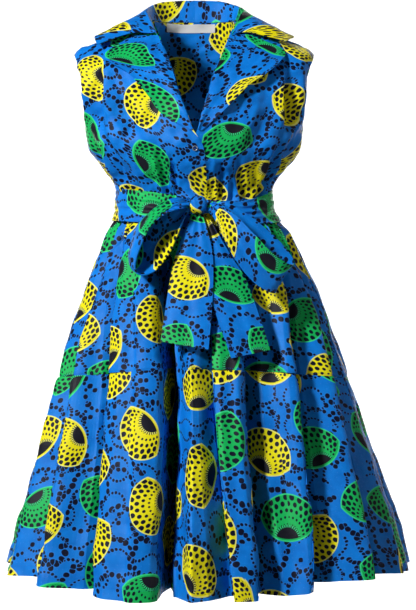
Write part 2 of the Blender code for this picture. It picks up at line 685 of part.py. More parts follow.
def cloth_piece(name, cells, place, thickness, finish, turned=False, joined=False, kept=None):
    """A grid laid out by place(across, up) and extruded into a wall, with its thickness to the inside.

    turned is for a surface whose across and up turn the other way round. kept(point) holds the wall
    on its own side of a seam.
    """
    made = bmesh.new()
    bmesh.ops.create_grid(made, x_segments=cells[0], y_segments=cells[1], size=0.5)
    across_at = made.verts.layers.float.new("across")
    up_at = made.verts.layers.float.new("up")
    for vertex in made.verts:
        vertex[across_at] = clamp(vertex.co.x + 0.5)
        vertex[up_at] = clamp(vertex.co.y + 0.5)
    grown = bmesh.ops.extrude_face_region(made, geom=made.faces[:], use_keep_orig=True)
    inside = {item for item in grown["geom"] if isinstance(item, bmesh.types.BMVert)}
    for vertex in made.verts:
        across, up = vertex[across_at], vertex[up_at]
        point = place(across, up)
        if vertex in inside:
            out = way_out(place, across, up, joined)
            point -= out * (-thickness if turned else thickness)
        vertex.co = kept(point) if kept else point
    bmesh.ops.recalc_face_normals(made, faces=made.faces)
    if made.calc_volume(signed=True) < 0.0:
        bmesh.ops.reverse_faces(made, faces=made.faces)
    return add_object(name, made, finish)


def in_front(point):
    """Keeps a front's wall in front of the side and shoulder seams."""
    return Vector((point.x, min(point.y, -SEAM_GAP / 2), point.z))


def behind(point):
    """Keeps the back's wall behind the side and shoulder seams."""
    return Vector((point.x, max(point.y, SEAM_GAP / 2), point.z))


def knot_piece(name, finish):
    """The knot: a ball drawn in by grooves that wind round it."""
    made = bmesh.new()
    bmesh.ops.create_uvsphere(made, u_segments=KNOT_CELLS[0], v_segments=KNOT_CELLS[1], radius=1.0)
    for vertex in made.verts:
        turn = math.atan2(vertex.co.x, -vertex.co.y)
        groove = 1.0 - KNOT_GROOVE_DEPTH * (1.0 + math.sin(KNOT_GROOVES * turn + 3.0 * vertex.co.z)) / 2
        squared = [math.copysign(abs(value) ** KNOT_SQUARENESS, value) * groove for value in vertex.co]
        vertex.co = Vector(c + r * v for c, r, v in zip(KNOT_CENTRE, KNOT_RADII, squared))
    return add_object(name, made, finish)


def button_piece(name, tree, finish):
    """A round button with a dished face, on the lapped front."""
    made = bmesh.new()
    profile = (
        (0.0, 0.0),
        (BUTTON_RADIUS, 0.0),
        (BUTTON_RADIUS, BUTTON_THICKNESS * 0.7),
        (BUTTON_RADIUS * 0.88, BUTTON_THICKNESS),
        (BUTTON_DISH_RADIUS, BUTTON_THICKNESS),
        (BUTTON_DISH_RADIUS * 0.8, BUTTON_THICKNESS - BUTTON_DISH),
        (0.0, BUTTON_THICKNESS - BUTTON_DISH),
    )
    corners = [made.verts.new((radius, 0.0, height)) for radius, height in profile]
    edges = [made.edges.new(pair) for pair in zip(corners, corners[1:])]
    bmesh.ops.spin(
        made,
        geom=corners + edges,
        cent=(0.0, 0.0, 0.0),
        axis=(0.0, 0.0, 1.0),
        angle=2 * math.pi,
        steps=BUTTON_SIDES,
        use_merge=True,
    )
    bmesh.ops.remove_doubles(made, verts=made.verts, dist=1e-6)
    bmesh.ops.recalc_face_normals(made, faces=made.faces)
    hit, normal = on_front(tree, BUTTON_X, BUTTON_Z)
    turned = Vector((0.0, 0.0, 1.0)).rotation_difference(normal)
    seat = hit + normal * SEAM_GAP * 1.5
    for vertex in made.verts:
        vertex.co = seat + turned @ vertex.co
    return add_object(name, made, finish)


def clear_scene():
    for obj in list(bpy.data.objects):
        bpy.data.objects.remove(obj)


def build_bodice(cloth, tape, hard):
    fronts = {}
    for side, name in ((LEFT, "bodice_front_left"), (RIGHT, "bodice_front_right")):
        fronts[side] = cloth_piece(
            name,
            FRONT_CELLS,
            lambda across, up, side=side: front_point(side, across, up),
            CLOTH,
            cloth,
            turned=side == LEFT,
            kept=in_front,
        )
    back = cloth_piece("bodice_back", BACK_CELLS, back_point, CLOTH, cloth, turned=True, kept=behind)
    cloth_piece("collar", COLLAR_CELLS, collar_place, CLOTH, cloth, turned=False)
    for side, name, rows in (
        (LEFT, "lapel_left", LAPEL_LEFT_ROWS),
        (RIGHT, "lapel_right", LAPEL_RIGHT_ROWS),
    ):
        place = lapel_place(side, rows, surface_tree(fronts[side]))
        cloth_piece(name, LAPEL_CELLS, place, CLOTH, cloth, turned=side == LEFT)
    cloth_piece("neck_label", LABEL_CELLS, label_place(surface_tree(back)), TAPE, tape, turned=True)
    button_piece("button", surface_tree(fronts[LEFT]), hard)


def build_skirt(cloth):
    def below_waist(_degrees):
        return WAIST - SEAM_GAP

    def above_seam(degrees):
        return seam_height(degrees) + SEAM_GAP

    def below_seam(degrees):
        return seam_height(degrees) - SEAM_GAP

    for name, first, last in (("front", -90.0, 90.0), ("back", 90.0, 270.0)):
        upper = tier_place(first, last, below_waist, above_seam, UPPER_TIER_CROWDING)
        lower = tier_place(first, last, below_seam, hem_height)
        cloth_piece(f"skirt_upper_{name}", UPPER_TIER_CELLS, upper, CLOTH, cloth, joined=True)
        cloth_piece(f"skirt_lower_{name}", LOWER_TIER_CELLS, lower, CLOTH, cloth, joined=True)


def build_sash(cloth):
    cloth_piece("belt_front", BELT_CELLS, belt_place(-90.0, 90.0), SASH_CLOTH, cloth, joined=True)
    cloth_piece("belt_back", BELT_CELLS, belt_place(90.0, 270.0), SASH_CLOTH, cloth, joined=True)
    knot_piece("knot", cloth)
    cloth_piece("bow_loop_left", LOOP_CELLS, loop_place(LOOP_LEFT_ROWS), SASH_CLOTH, cloth, turned=True)
    cloth_piece("bow_loop_right", LOOP_CELLS, loop_place(LOOP_RIGHT_ROWS), SASH_CLOTH, cloth)
    cloth_piece("tail_left", TAIL_CELLS, tail_place(TAIL_LEFT_ROWS), SASH_CLOTH, cloth)
    cloth_piece("tail_right", TAIL_CELLS, tail_place(TAIL_RIGHT_ROWS), SASH_CLOTH, cloth)


def main():
    clear_scene()
    cloth = material("wax_print", BLUE, COTTON_ROUGHNESS)
    tape = material("label_tape", WHITE, COTTON_ROUGHNESS)
    hard = material("button", DARK, BUTTON_ROUGHNESS)
    build_bodice(cloth, tape, hard)
    build_skirt(cloth)
    build_sash(cloth)


main()
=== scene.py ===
"""The looks of a sleeveless wax print dress in its worn form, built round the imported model.

Metres, +Z up. The front faces -Y and +X is at the viewer's right. Each cloth piece is a fine grid on
the surface that its solid follows, with a wall, a UV map in metres of flat cloth, and printed cotton.
"""

import logging
import math
from dataclasses import dataclass, field
from enum import Enum
from typing import Callable, NamedTuple, Sequence

import bmesh
import bpy
import numpy as np
from mathutils import Matrix, Vector
from mathutils.bvhtree import BVHTree


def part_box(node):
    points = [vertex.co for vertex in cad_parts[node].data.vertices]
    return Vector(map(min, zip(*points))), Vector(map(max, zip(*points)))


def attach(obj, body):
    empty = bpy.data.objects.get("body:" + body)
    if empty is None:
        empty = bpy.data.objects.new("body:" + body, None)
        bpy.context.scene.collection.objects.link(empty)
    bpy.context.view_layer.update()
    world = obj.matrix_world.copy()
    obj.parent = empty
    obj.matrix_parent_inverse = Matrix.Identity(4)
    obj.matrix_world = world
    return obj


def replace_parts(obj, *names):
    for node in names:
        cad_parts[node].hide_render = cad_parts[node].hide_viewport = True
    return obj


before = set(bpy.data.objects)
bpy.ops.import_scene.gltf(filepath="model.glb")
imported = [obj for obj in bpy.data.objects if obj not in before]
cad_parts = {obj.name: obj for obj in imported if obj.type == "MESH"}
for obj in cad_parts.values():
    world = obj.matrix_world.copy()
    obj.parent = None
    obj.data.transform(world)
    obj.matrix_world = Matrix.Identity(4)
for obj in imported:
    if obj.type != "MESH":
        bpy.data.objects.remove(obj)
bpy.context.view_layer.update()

LOG = logging.getLogger("dress")
BODY = "root"
UV_MAP = "cloth"

Colour = tuple[float, float, float, float]
Place = Callable[[np.ndarray, np.ndarray], np.ndarray]

WAIST = -0.352
TIER_SEAM = -0.667
TIER_SEAM_FRONT_RISE = 0.022
HEM = -1.036
SEAM_GAP = 0.0003
# How square the torso's and the skirt's sections are: 1 is an ellipse
ROUNDNESS = 0.86
# How much deeper than their tabled depth the drag lines are pressed
DRAG = 2.8
# The ridges beside a drag line: their share of its depth, and where they lie in half widths
RIDGE_SHARE = 0.45
RIDGE_AT = 1.7
# Above 1, a drag line is deepest past its middle, towards its end
DRAG_PEAK = 1.3
# The shortest and the longest wave of an uneven surface, as shares of its usual length
WAVE_SPREAD = (0.7, 1.5)
# Where a ray that looks for the dress from the front starts
IN_FRONT = -1.0
AHEAD = Vector((0.0, 1.0, 0.0))
FULL_TURN = 2 * math.pi
# Keeps a division by a length of nothing from failing
TINY = 1e-12
# Points nearer than this are one
MERGE = 1e-6
# How many levels the bodice's height is read at, to find the share that belongs to a height
LEVELS = 801


class Side(Enum):
    """A side of the dress, as the viewer sees it."""

    LEFT = -1
    RIGHT = 1


class Held(Enum):
    """How a piece of cloth is held."""

    DRAPED = "draped"
    HUNG = "hung"
    GATHERED = "gathered"
    FOLDED = "folded"
    STRETCHED = "stretched"


class Slot(Enum):
    """The record's material slots."""

    PRINT = "wax_print"
    TAPE = "label_tape"
    BUTTON = "button"


class BodiceRow(NamedTuple):
    """One level of the bodice, from the waist up to the chest."""

    height: float
    half_width: float
    front_depth: float
    back_depth: float
    front_armhole: float
    back_armhole: float
    edge_right: float
    edge_left: float


class Gather(NamedTuple):
    """A soft fold that rises from the waist: where it is, how deep, how wide and how high."""

    angle: float
    depth: float
    half_width: float
    reach: float


class Crease(NamedTuple):
    """A drag line in the bodice, as seen from the front: its two ends, its depth and half width."""

    start_x: float
    start_z: float
    end_x: float
    end_z: float
    depth: float
    half_width: float


class SkirtRow(NamedTuple):
    """Half sizes of the skirt at a height, at the outer edges of its pleats."""

    height: float
    left: float
    right: float
    front: float
    back: float


class Fold(NamedTuple):
    """A pleat's valley: angles, depths and half widths at waist, tier seam and hem, and its lean."""

    waist: float
    seam: float
    hem: float
    waist_depth: float
    seam_depth: float
    hem_depth: float
    waist_width: float
    seam_width: float
    hem_width: float
    lean: float


class HemPoint(NamedTuple):
    """How much higher than the lowest hem the hem hangs at an angle."""

    angle: float
    rise: float


class BeltPoint(NamedTuple):
    """The belt's two edges at an angle round the body."""

    angle: float
    top: float
    bottom: float


class CollarRow(NamedTuple):
    """The collar at one place: neck seam, fold, middle of the fall and outer edge."""

    along: float
    seam: tuple[float, float, float]
    fold: tuple[float, float, float]
    middle: tuple[float, float, float]
    edge: tuple[float, float, float]


class LapelRow(NamedTuple):
    """A lapel's roll line and outer edge as seen from the front."""

    along: float
    roll_x: float
    roll_z: float
    outer_x: float
    outer_z: float


class LoopRow(NamedTuple):
    """The two edges of a bow loop's ribbon."""

    near: tuple[float, float, float]
    far: tuple[float, float, float]


class Chain(NamedTuple):
    """A net of dotted curves in the print: its cells' size, the dots on a quarter ring, and their radius."""

    cell: float
    count: int
    radius: float


class ProfilePoint(NamedTuple):
    """A point of the button's profile, as shares of its radius, rim, height and dish."""

    wide: float
    rim: float
    high: float
    dish: float


class Lamp(NamedTuple):
    """A soft square light: where it stands, what it points at, its side and its watts."""

    name: str
    at: tuple[float, float, float]
    towards: tuple[float, float, float]
    size: float
    power: float


class TailRow(NamedTuple):
    """A sash end at a height: its edges, its stand-off from the skirt, and its slant."""

    height: float
    left: float
    right: float
    off: float
    slant: float


BODICE_ROWS = (
    BodiceRow(WAIST, 0.1465, 0.108, 0.098, 0.0, 0.0, -0.016, -0.024),
    BodiceRow(-0.322, 0.1465, 0.109, 0.099, 0.0, 0.0, -0.016, -0.0238),
    BodiceRow(-0.3, 0.155, 0.117, 0.106, 0.0, 0.0, -0.016, -0.023),
    BodiceRow(-0.275, 0.174, 0.131, 0.116, 0.0, 0.0, -0.015, -0.0215),
    BodiceRow(-0.243, 0.1985, 0.14, 0.122, 0.0, 0.0, -0.01, -0.0165),
    BodiceRow(-0.215, 0.206, 0.141, 0.122, 0.0, 0.0, 0.006, 0.0),
    BodiceRow(-0.19, 0.208, 0.137, 0.121, 0.0, 0.0, 0.012, 0.009),
    BodiceRow(-0.15, 0.2095, 0.126, 0.119, 0.038, 0.028, 0.023, 0.024),
    BodiceRow(-0.1, 0.215, 0.104, 0.112, 0.05, 0.044, 0.037, 0.037),
)
FRONT_GATHERS = (
    Gather(16, 0.006, 6.0, 0.42),
    Gather(29, 0.0085, 6.5, 0.48),
    Gather(44, 0.007, 6.0, 0.36),
    Gather(58, 0.01, 7.0, 0.58),
    Gather(74, 0.011, 7.0, 0.66),
)
BACK_GATHERS = (
    Gather(-72, 0.01, 7.0, 0.55),
    Gather(-52, 0.008, 7.0, 0.42),
    Gather(-33, 0.007, 6.5, 0.36),
    Gather(-12, 0.006, 6.0, 0.3),
    Gather(11, 0.0065, 6.0, 0.34),
    Gather(34, 0.007, 6.5, 0.38),
    Gather(54, 0.0085, 7.0, 0.44),
    Gather(73, 0.01, 7.0, 0.52),
)
FRONT_CREASES = {
    Side.LEFT: (
        Crease(-0.203, -0.205, -0.132, -0.352, 0.008, 0.0085),
        Crease(-0.18, -0.19, -0.112, -0.352, 0.0065, 0.008),
        Crease(-0.15, -0.235, -0.09, -0.352, 0.005, 0.008),
        Crease(-0.07, -0.235, -0.042, -0.352, 0.004, 0.0065),
        Crease(-0.044, -0.25, -0.02, -0.352, 0.004, 0.0055),
        Crease(-0.185, -0.07, -0.178, -0.205, 0.006, 0.012),
        Crease(-0.15, -0.11, -0.105, -0.24, 0.0036, 0.015),
    ),
    Side.RIGHT: (
        Crease(0.196, -0.2, 0.138, -0.352, 0.0085, 0.0085),
        Crease(0.172, -0.21, 0.116, -0.352, 0.0065, 0.008),
        Crease(0.182, -0.075, 0.176, -0.215, 0.0075, 0.011),
        Crease(0.078, -0.262, 0.096, -0.352, 0.004, 0.0065),
        Crease(0.05, -0.268, 0.054, -0.352, 0.004, 0.006),
        Crease(0.03, -0.24, 0.01, -0.352, 0.003, 0.006),
        Crease(0.15, -0.15, 0.1, -0.26, 0.0032, 0.015),
    ),
}
BACK_CREASES = (
    Crease(-0.2, -0.19, -0.13, -0.352, 0.007, 0.0085),
    Crease(-0.16, -0.22, -0.095, -0.352, 0.005, 0.008),
    Crease(0.198, -0.195, 0.132, -0.352, 0.007, 0.0085),
    Crease(0.155, -0.23, 0.098, -0.352, 0.005, 0.008),
    Crease(-0.05, -0.25, -0.03, -0.352, 0.004, 0.007),
    Crease(0.045, -0.24, 0.035, -0.352, 0.004, 0.007),
    Crease(-0.165, -0.08, -0.12, -0.2, 0.004, 0.014),
    Crease(0.17, -0.085, 0.115, -0.21, 0.004, 0.014),
)
SKIRT_ROWS = (
    SkirtRow(WAIST, 0.1465, 0.1465, 0.108, 0.098),
    SkirtRow(-0.372, 0.157, 0.164, 0.115, 0.106),
    SkirtRow(-0.396, 0.173, 0.188, 0.131, 0.122),
    SkirtRow(-0.45, 0.198, 0.218, 0.158, 0.152),
    SkirtRow(-0.53, 0.23, 0.26, 0.195, 0.19),
    SkirtRow(-0.6, 0.256, 0.283, 0.222, 0.216),
    SkirtRow(-0.667, 0.274, 0.308, 0.247, 0.24),
    SkirtRow(-0.74, 0.295, 0.332, 0.271, 0.263),
    SkirtRow(-0.84, 0.321, 0.367, 0.302, 0.294),
    SkirtRow(-0.94, 0.35, 0.404, 0.33, 0.322),
    SkirtRow(-1.045, 0.381, 0.431, 0.354, 0.346),
)
SKIRT_FOLDS = (
    Fold(-82.0, -78.0, -74.0, 0.003, 0.034, 0.056, 4.5, 3.6, 3.8, 1.2),
    Fold(-68.0, -60.5, -54.0, 0.007, 0.058, 0.08, 4.5, 3.2, 3.4, 1.5),
    Fold(-57.0, -41.2, -33.2, 0.016, 0.072, 0.092, 4.8, 3.0, 3.2, 1.6),
    Fold(-40.0, -26.0, -21.0, 0.008, 0.01, 0.012, 4.5, 4.0, 4.0, 0.3),
    Fold(-24.5, -10.6, -8.4, 0.022, 0.14, 0.155, 4.0, 2.3, 1.9, -1.5),
    Fold(4.0, 4.1, 7.0, 0.008, 0.034, 0.056, 4.0, 2.6, 2.8, 1.5),
    Fold(17.0, 12.0, 12.6, 0.005, 0.008, 0.009, 3.5, 3.0, 3.0, 0.0),
    Fold(32.0, 22.6, 20.6, 0.018, 0.08, 0.098, 4.5, 3.8, 4.2, -1.0),
    Fold(42.0, 31.0, 27.0, 0.008, 0.01, 0.01, 4.0, 3.5, 3.5, 0.3),
    Fold(57.0, 43.0, 35.5, 0.016, 0.072, 0.092, 4.8, 3.4, 3.4, -1.4),
    Fold(72.0, 63.5, 56.0, 0.007, 0.06, 0.082, 4.5, 3.4, 3.6, -1.3),
    Fold(84.0, 78.5, 73.5, 0.003, 0.036, 0.056, 4.2, 3.6, 3.8, -1.0),
    Fold(99.0, 95.0, 92.0, 0.003, 0.034, 0.052, 4.5, 3.6, 3.6, 1.2),
    Fold(118.0, 114.0, 111.0, 0.012, 0.042, 0.06, 4.8, 3.4, 3.6, -1.6),
    Fold(136.0, 133.0, 131.0, 0.01, 0.034, 0.05, 4.5, 3.2, 3.4, 1.4),
    Fold(153.0, 151.0, 149.5, 0.012, 0.046, 0.064, 4.6, 3.2, 3.2, -1.7),
    Fold(170.0, 169.0, 168.0, 0.01, 0.036, 0.052, 4.4, 3.0, 3.2, 1.5),
    Fold(187.0, 187.5, 188.5, 0.012, 0.044, 0.06, 4.4, 3.2, 3.2, -1.6),
    Fold(205.0, 207.0, 209.0, 0.01, 0.036, 0.052, 4.5, 3.2, 3.4, 1.5),
    Fold(223.0, 226.0, 228.5, 0.012, 0.044, 0.062, 4.8, 3.4, 3.4, -1.6),
    Fold(243.0, 246.0, 249.0, 0.01, 0.036, 0.052, 4.6, 3.6, 3.6, 1.4),
    Fold(262.0, 264.0, 267.0, 0.003, 0.032, 0.048, 4.2, 3.6, 3.6, -1.2),
)
HEM_RISE = (
    HemPoint(-90, 0.004),
    HemPoint(-62, 0.018),
    HemPoint(-45, 0.012),
    HemPoint(-30, 0.006),
    HemPoint(-15, 0.0),
    HemPoint(10, 0.002),
    HemPoint(27, 0.003),
    HemPoint(40, 0.02),
    HemPoint(60, 0.022),
    HemPoint(90, 0.006),
    HemPoint(135, 0.01),
    HemPoint(180, 0.004),
    HemPoint(225, 0.01),
    HemPoint(270, 0.004),
)
BELT_EDGES = (
    BeltPoint(-180, -0.316, -0.372),
    BeltPoint(-90, -0.312, -0.371),
    BeltPoint(-45, -0.32, -0.378),
    BeltPoint(-12, -0.331, -0.38),
    BeltPoint(10, -0.339, -0.377),
    BeltPoint(32, -0.34, -0.381),
    BeltPoint(52, -0.333, -0.38),
    BeltPoint(90, -0.314, -0.372),
    BeltPoint(180, -0.316, -0.372),
)
COLLAR_ROWS = (
    CollarRow(
        0.0, (0.0, 0.0785, 0.019), (0.0, 0.0835, 0.0585), (0.0, 0.096, 0.035), (0.0, 0.0985, 0.003)
    ),
    CollarRow(
        0.25, (0.045, 0.073, 0.0185), (0.049, 0.079, 0.056), (0.057, 0.091, 0.033), (0.062, 0.094, 0.002)
    ),
    CollarRow(
        0.45, (0.07, 0.048, 0.016), (0.078, 0.055, 0.046), (0.098, 0.066, 0.023), (0.114, 0.075, -0.008)
    ),
    CollarRow(
        0.62, (0.079, 0.014, 0.0128), (0.0895, 0.019, 0.0325), (0.129, 0.029, 0.013), (0.16, 0.038, -0.014)
    ),
    CollarRow(
        0.76, (0.079, -0.009, 0.005), (0.087, -0.006, 0.018), (0.137, -0.004, 0.005), (0.183, 0.006, -0.0175)
    ),
    CollarRow(
        0.88,
        (0.0735, -0.027, -0.011),
        (0.079, -0.025, -0.002),
        (0.132, -0.03, -0.007),
        (0.188, -0.024, -0.027),
    ),
)
COLLAR_ENDS = {
    Side.LEFT: CollarRow(
        1.0, (0.0695, -0.0355, -0.0235), (0.072, -0.0365, -0.0205),
        (0.122, -0.0375, -0.0222), (0.1815, -0.0545, -0.0462),
    ),
    Side.RIGHT: CollarRow(
        1.0, (0.0695, -0.0355, -0.0235), (0.072, -0.0365, -0.0205),
        (0.108, -0.0375, -0.021), (0.17, -0.054, -0.039),
    ),
}
LAPEL_ROWS = {
    Side.LEFT: (
        LapelRow(0.0, 0.001, -0.213, 0.008, -0.2145),
        LapelRow(0.2, 0.015, -0.176, 0.058, -0.185),
        LapelRow(0.4, 0.0275, -0.144, 0.087, -0.145),
        LapelRow(0.58, 0.036, -0.112, 0.12, -0.106),
        LapelRow(0.74, 0.0455, -0.083, 0.154, -0.083),
        LapelRow(0.88, 0.056, -0.056, 0.17, -0.068),
        LapelRow(1.0, 0.068, -0.0243, 0.118, -0.0236),
    ),
    Side.RIGHT: (
        LapelRow(0.0, 0.007, -0.214, 0.014, -0.216),
        LapelRow(0.2, 0.017, -0.176, 0.057, -0.176),
        LapelRow(0.4, 0.026, -0.146, 0.1, -0.131),
        LapelRow(0.58, 0.035, -0.112, 0.136, -0.105),
        LapelRow(0.74, 0.0455, -0.083, 0.159, -0.082),
        LapelRow(0.88, 0.056, -0.056, 0.166, -0.056),
        LapelRow(1.0, 0.068, -0.0243, 0.104, -0.0228),
    ),
}
# How far the lapels' outer edges stand off the fronts
LAPEL_EDGE_LIFT = {Side.LEFT: 0.0085, Side.RIGHT: 0.0180}
LOOP_ROWS = {
    Side.LEFT: (
        LoopRow((-0.01, -0.142, -0.346), (-0.01, -0.126, -0.342)),
        LoopRow((-0.03, -0.172, -0.353), (-0.036, -0.134, -0.338)),
        LoopRow((-0.056, -0.191, -0.369), (-0.07, -0.138, -0.353)),
        LoopRow((-0.083, -0.203, -0.402), (-0.101, -0.142, -0.384)),
        LoopRow((-0.099, -0.207, -0.44), (-0.115, -0.148, -0.417)),
        LoopRow((-0.104, -0.204, -0.47), (-0.118, -0.156, -0.45)),
        LoopRow((-0.09, -0.199, -0.48), (-0.112, -0.158, -0.456)),
        LoopRow((-0.066, -0.192, -0.471), (-0.102, -0.148, -0.428)),
        LoopRow((-0.046, -0.181, -0.446), (-0.083, -0.14, -0.395)),
        LoopRow((-0.028, -0.164, -0.408), (-0.052, -0.134, -0.368)),
        LoopRow((-0.01, -0.142, -0.361), (-0.0105, -0.13, -0.354)),
    ),
    Side.RIGHT: (
        LoopRow((0.027, -0.142, -0.36), (0.0275, -0.148, -0.345)),
        LoopRow((0.041, -0.172, -0.384), (0.049, -0.168, -0.354)),
        LoopRow((0.056, -0.192, -0.416), (0.077, -0.182, -0.374)),
        LoopRow((0.078, -0.204, -0.456), (0.108, -0.19, -0.406)),
        LoopRow((0.106, -0.206, -0.49), (0.141, -0.19, -0.44)),
        LoopRow((0.136, -0.198, -0.509), (0.168, -0.18, -0.458)),
        LoopRow((0.148, -0.182, -0.508), (0.181, -0.16, -0.458)),
        LoopRow((0.136, -0.174, -0.486), (0.17, -0.146, -0.436)),
        LoopRow((0.104, -0.172, -0.45), (0.136, -0.14, -0.4)),
        LoopRow((0.068, -0.164, -0.408), (0.096, -0.136, -0.369)),
        LoopRow((0.041, -0.15, -0.376), (0.056, -0.132, -0.346)),
        LoopRow((0.027, -0.128, -0.362), (0.028, -0.127, -0.346)),
    ),
}
TAIL_ROWS = {
    Side.LEFT: (
        TailRow(-0.3675, -0.005, 0.015, 0.0205, 0.0),
        TailRow(-0.396, -0.0165, 0.024, 0.016, 0.0),
        TailRow(-0.429, -0.0285, 0.0325, 0.0105, 0.0),
        TailRow(-0.455, -0.036, 0.035, 0.0085, 0.0),
        TailRow(-0.497, -0.044, 0.0348, 0.008, 0.0),
        TailRow(-0.545, -0.051, 0.032, 0.007, 0.004),
        TailRow(-0.596, -0.058, 0.0265, 0.006, 0.014),
    ),
    Side.RIGHT: (
        TailRow(-0.3674, 0.006, 0.025, 0.0125, 0.0),
        TailRow(-0.4, 0.008, 0.043, 0.006, 0.0),
        TailRow(-0.44, 0.012, 0.066, 0.004, 0.0),
        TailRow(-0.48, 0.02, 0.091, 0.003, 0.0),
        TailRow(-0.513, 0.029, 0.104, 0.0028, 0.0),
        TailRow(-0.56, 0.044, 0.119, 0.0028, -0.004),
        TailRow(-0.625, 0.067, 0.136, 0.0028, -0.014),
    ),
}
# Where each piece lies on the printed cloth
PRINT_AT = {
    "bodice_front_left": (0.31, 0.47),
    "bodice_front_right": (1.27, 0.06),
    "bodice_back": (2.3, 1.1),
    "collar": (3.4, 2.2),
    "lapel_left": (4.2, 0.3),
    "lapel_right": (5.1, 0.9),
    "skirt_upper_front": (0.0, 0.43),
    "skirt_lower_front": (0.0, 4.02),
    "skirt_upper_back": (7.3, 0.43),
    "skirt_lower_back": (7.3, 4.02),
    "belt_front": (6.4, 0.7),
    "belt_back": (6.9, 1.4),
    "bow_loop_left": (7.3, 0.2),
    "tail_left": (7.8, 0.6),
    "bow_loop_right": (8.1, 0.5),
    "tail_right": (8.6, 0.9),
    "knot": (6.02, 0.2),
}
BUTTON_PROFILE = (
    ProfilePoint(0.0, 0.0, 0.0, 0.0),
    ProfilePoint(0.80, 0.0, 0.0, 0.0),
    ProfilePoint(0.95, 0.0, 0.25, 0.0),
    ProfilePoint(1.0, 0.0, 0.52, 0.0),
    ProfilePoint(0.97, 0.0, 0.82, 0.0),
    ProfilePoint(0.90, 0.0, 0.97, 0.0),
    ProfilePoint(1.0, 0.8, 1.0, 0.0),
    ProfilePoint(1.0, 1.0, 0.97, 0.0),
    ProfilePoint(1.0, 1.5, 1.0, 0.7),
    ProfilePoint(1.0, 2.2, 1.0, 1.0),
    ProfilePoint(0.0, 0.0, 1.0, 1.0),
)
# The rows of stitches but the hem's: each piece with the row's ends, as shares across and up
STITCH_ROWS = {
    "tier_seam": (
        ("skirt_upper_front", (0.0, 1.0), (0.03, 0.03)),
        ("skirt_upper_back", (0.0, 1.0), (0.03, 0.03)),
    ),
    "collar": (("collar", (0.006, 0.994), (0.93, 0.93)),),
    "lapels": (("lapel_left", (0.93, 0.93), (0.0, 1.0)), ("lapel_right", (0.93, 0.93), (0.0, 1.0))),
    "front_edge": (("bodice_front_left", (0.035, 0.035), (0.0, 0.45)),),
    "armhole_left": (
        ("bodice_front_left", (0.965, 0.965), (0.53, 0.99)),
        ("bodice_back", (0.018, 0.018), (0.53, 0.99)),
    ),
    "armhole_right": (
        ("bodice_front_right", (0.965, 0.965), (0.53, 0.99)),
        ("bodice_back", (0.982, 0.982), (0.53, 0.99)),
    ),
    "tails": (
        ("tail_left", (0.05, 0.05), (0.02, 0.9)),
        ("tail_left", (0.95, 0.95), (0.02, 0.9)),
        ("tail_right", (0.05, 0.05), (0.02, 0.9)),
        ("tail_right", (0.95, 0.95), (0.02, 0.9)),
        ("tail_left", (0.05, 0.95), (0.02, 0.02)),
        ("tail_right", (0.05, 0.95), (0.02, 0.02)),
    ),
    "loops": (
        ("bow_loop_left", (0.1, 0.9), (0.07, 0.07)),
        ("bow_loop_left", (0.1, 0.9), (0.93, 0.93)),
        ("bow_loop_right", (0.1, 0.9), (0.07, 0.07)),
        ("bow_loop_right", (0.1, 0.9), (0.93, 0.93)),
    ),
}
LAMPS = (
    Lamp("key", (-2.05, -2.3, 1.15), (0.0, 0.0, -0.30), 0.45, 128.0),
    Lamp("fill", (2.9, -1.3, 0.5), (0.0, 0.0, -0.45), 0.6, 13.0),
    Lamp("back", (1.4, 2.4, 1.6), (0.0, 0.0, -0.45), 1.2, 18.0),
    Lamp("wash_left", (-3.2, 5.4, 0.6), (-0.8, 7.4, -0.6), 1.8, 410.0),
    Lamp("wash_right", (3.2, 5.4, 0.6), (0.8, 7.4, -0.6), 1.8, 410.0),
)


def clamp(value: np.ndarray | float, low: float = 0.0, high: float = 1.0) -> np.ndarray:
    """Holds a value between two limits."""
    return np.clip(value, low, high)


def mix(a, b, share):
    """The value at a share of the way from a to b."""
    return a + (b - a) * share


def smooth(value: np.ndarray) -> np.ndarray:
    """0 to 1 with a level start and end."""
    value = clamp(value)
    return value * value * (3.0 - 2.0 * value)


def valley(offset: np.ndarray) -> np.ndarray:
    """A rounded valley of depth 1 between -1 and 1."""
    return np.where(np.abs(offset) < 1.0, np.cos(np.pi * clamp(offset, -1.0, 1.0) / 2.0) ** 2, 0.0)


def stack(x, y, z) -> np.ndarray:
    """Points from their coordinates, each a number or an array."""
    return np.stack(np.broadcast_arrays(x, y, z), axis=-1).astype(float)


def shares(knots: Sequence[float], at: np.ndarray) -> np.ndarray:
    """How much each knot's value counts in a smooth curve through them.

    Args:
        knots: The rising places of the values.
        at: Where the curve is read.

    Returns:
        One weight for each knot, on a new last axis.
    """
    knots = np.asarray(knots, float)
    at = clamp(np.asarray(at, float), knots[0], knots[-1])
    last = len(knots) - 1
    one = np.eye(last + 1)
    before = np.maximum(np.arange(last + 1) - 1, 0)
    after = np.minimum(np.arange(last + 1) + 1, last)
    slope = (one[after] - one[before]) / (knots[after] - knots[before])[:, None]
    i = np.clip(np.searchsorted(knots, at, side="right") - 1, 0, last - 1)
    span = (knots[i + 1] - knots[i])[..., None]
    t = (at - knots[i])[..., None] / span
    return (
        one[i] * (2 * t**3 - 3 * t**2 + 1)
        + slope[i] * span * (t**3 - 2 * t**2 + t)
        + one[i + 1] * (3 * t**2 - 2 * t**3)
        + slope[i + 1] * span * (t**3 - t**2)
    )


def column(table: Sequence, knot: str, name: str, at: np.ndarray) -> np.ndarray:
    """One named column of a table, read smoothly at a value of its knot column."""
    rows = sorted(table, key=lambda row: getattr(row, knot))
    return shares([getattr(r, knot) for r in rows], at) @ np.array([getattr(r, name) for r in rows], float)


def even(table: Sequence, name: str, at: np.ndarray) -> np.ndarray:
    """One column of a table whose rows are spread evenly from 0 to 1."""
    return shares(np.linspace(0.0, 1.0, len(table)), at) @ np.array([getattr(r, name) for r in table], float)


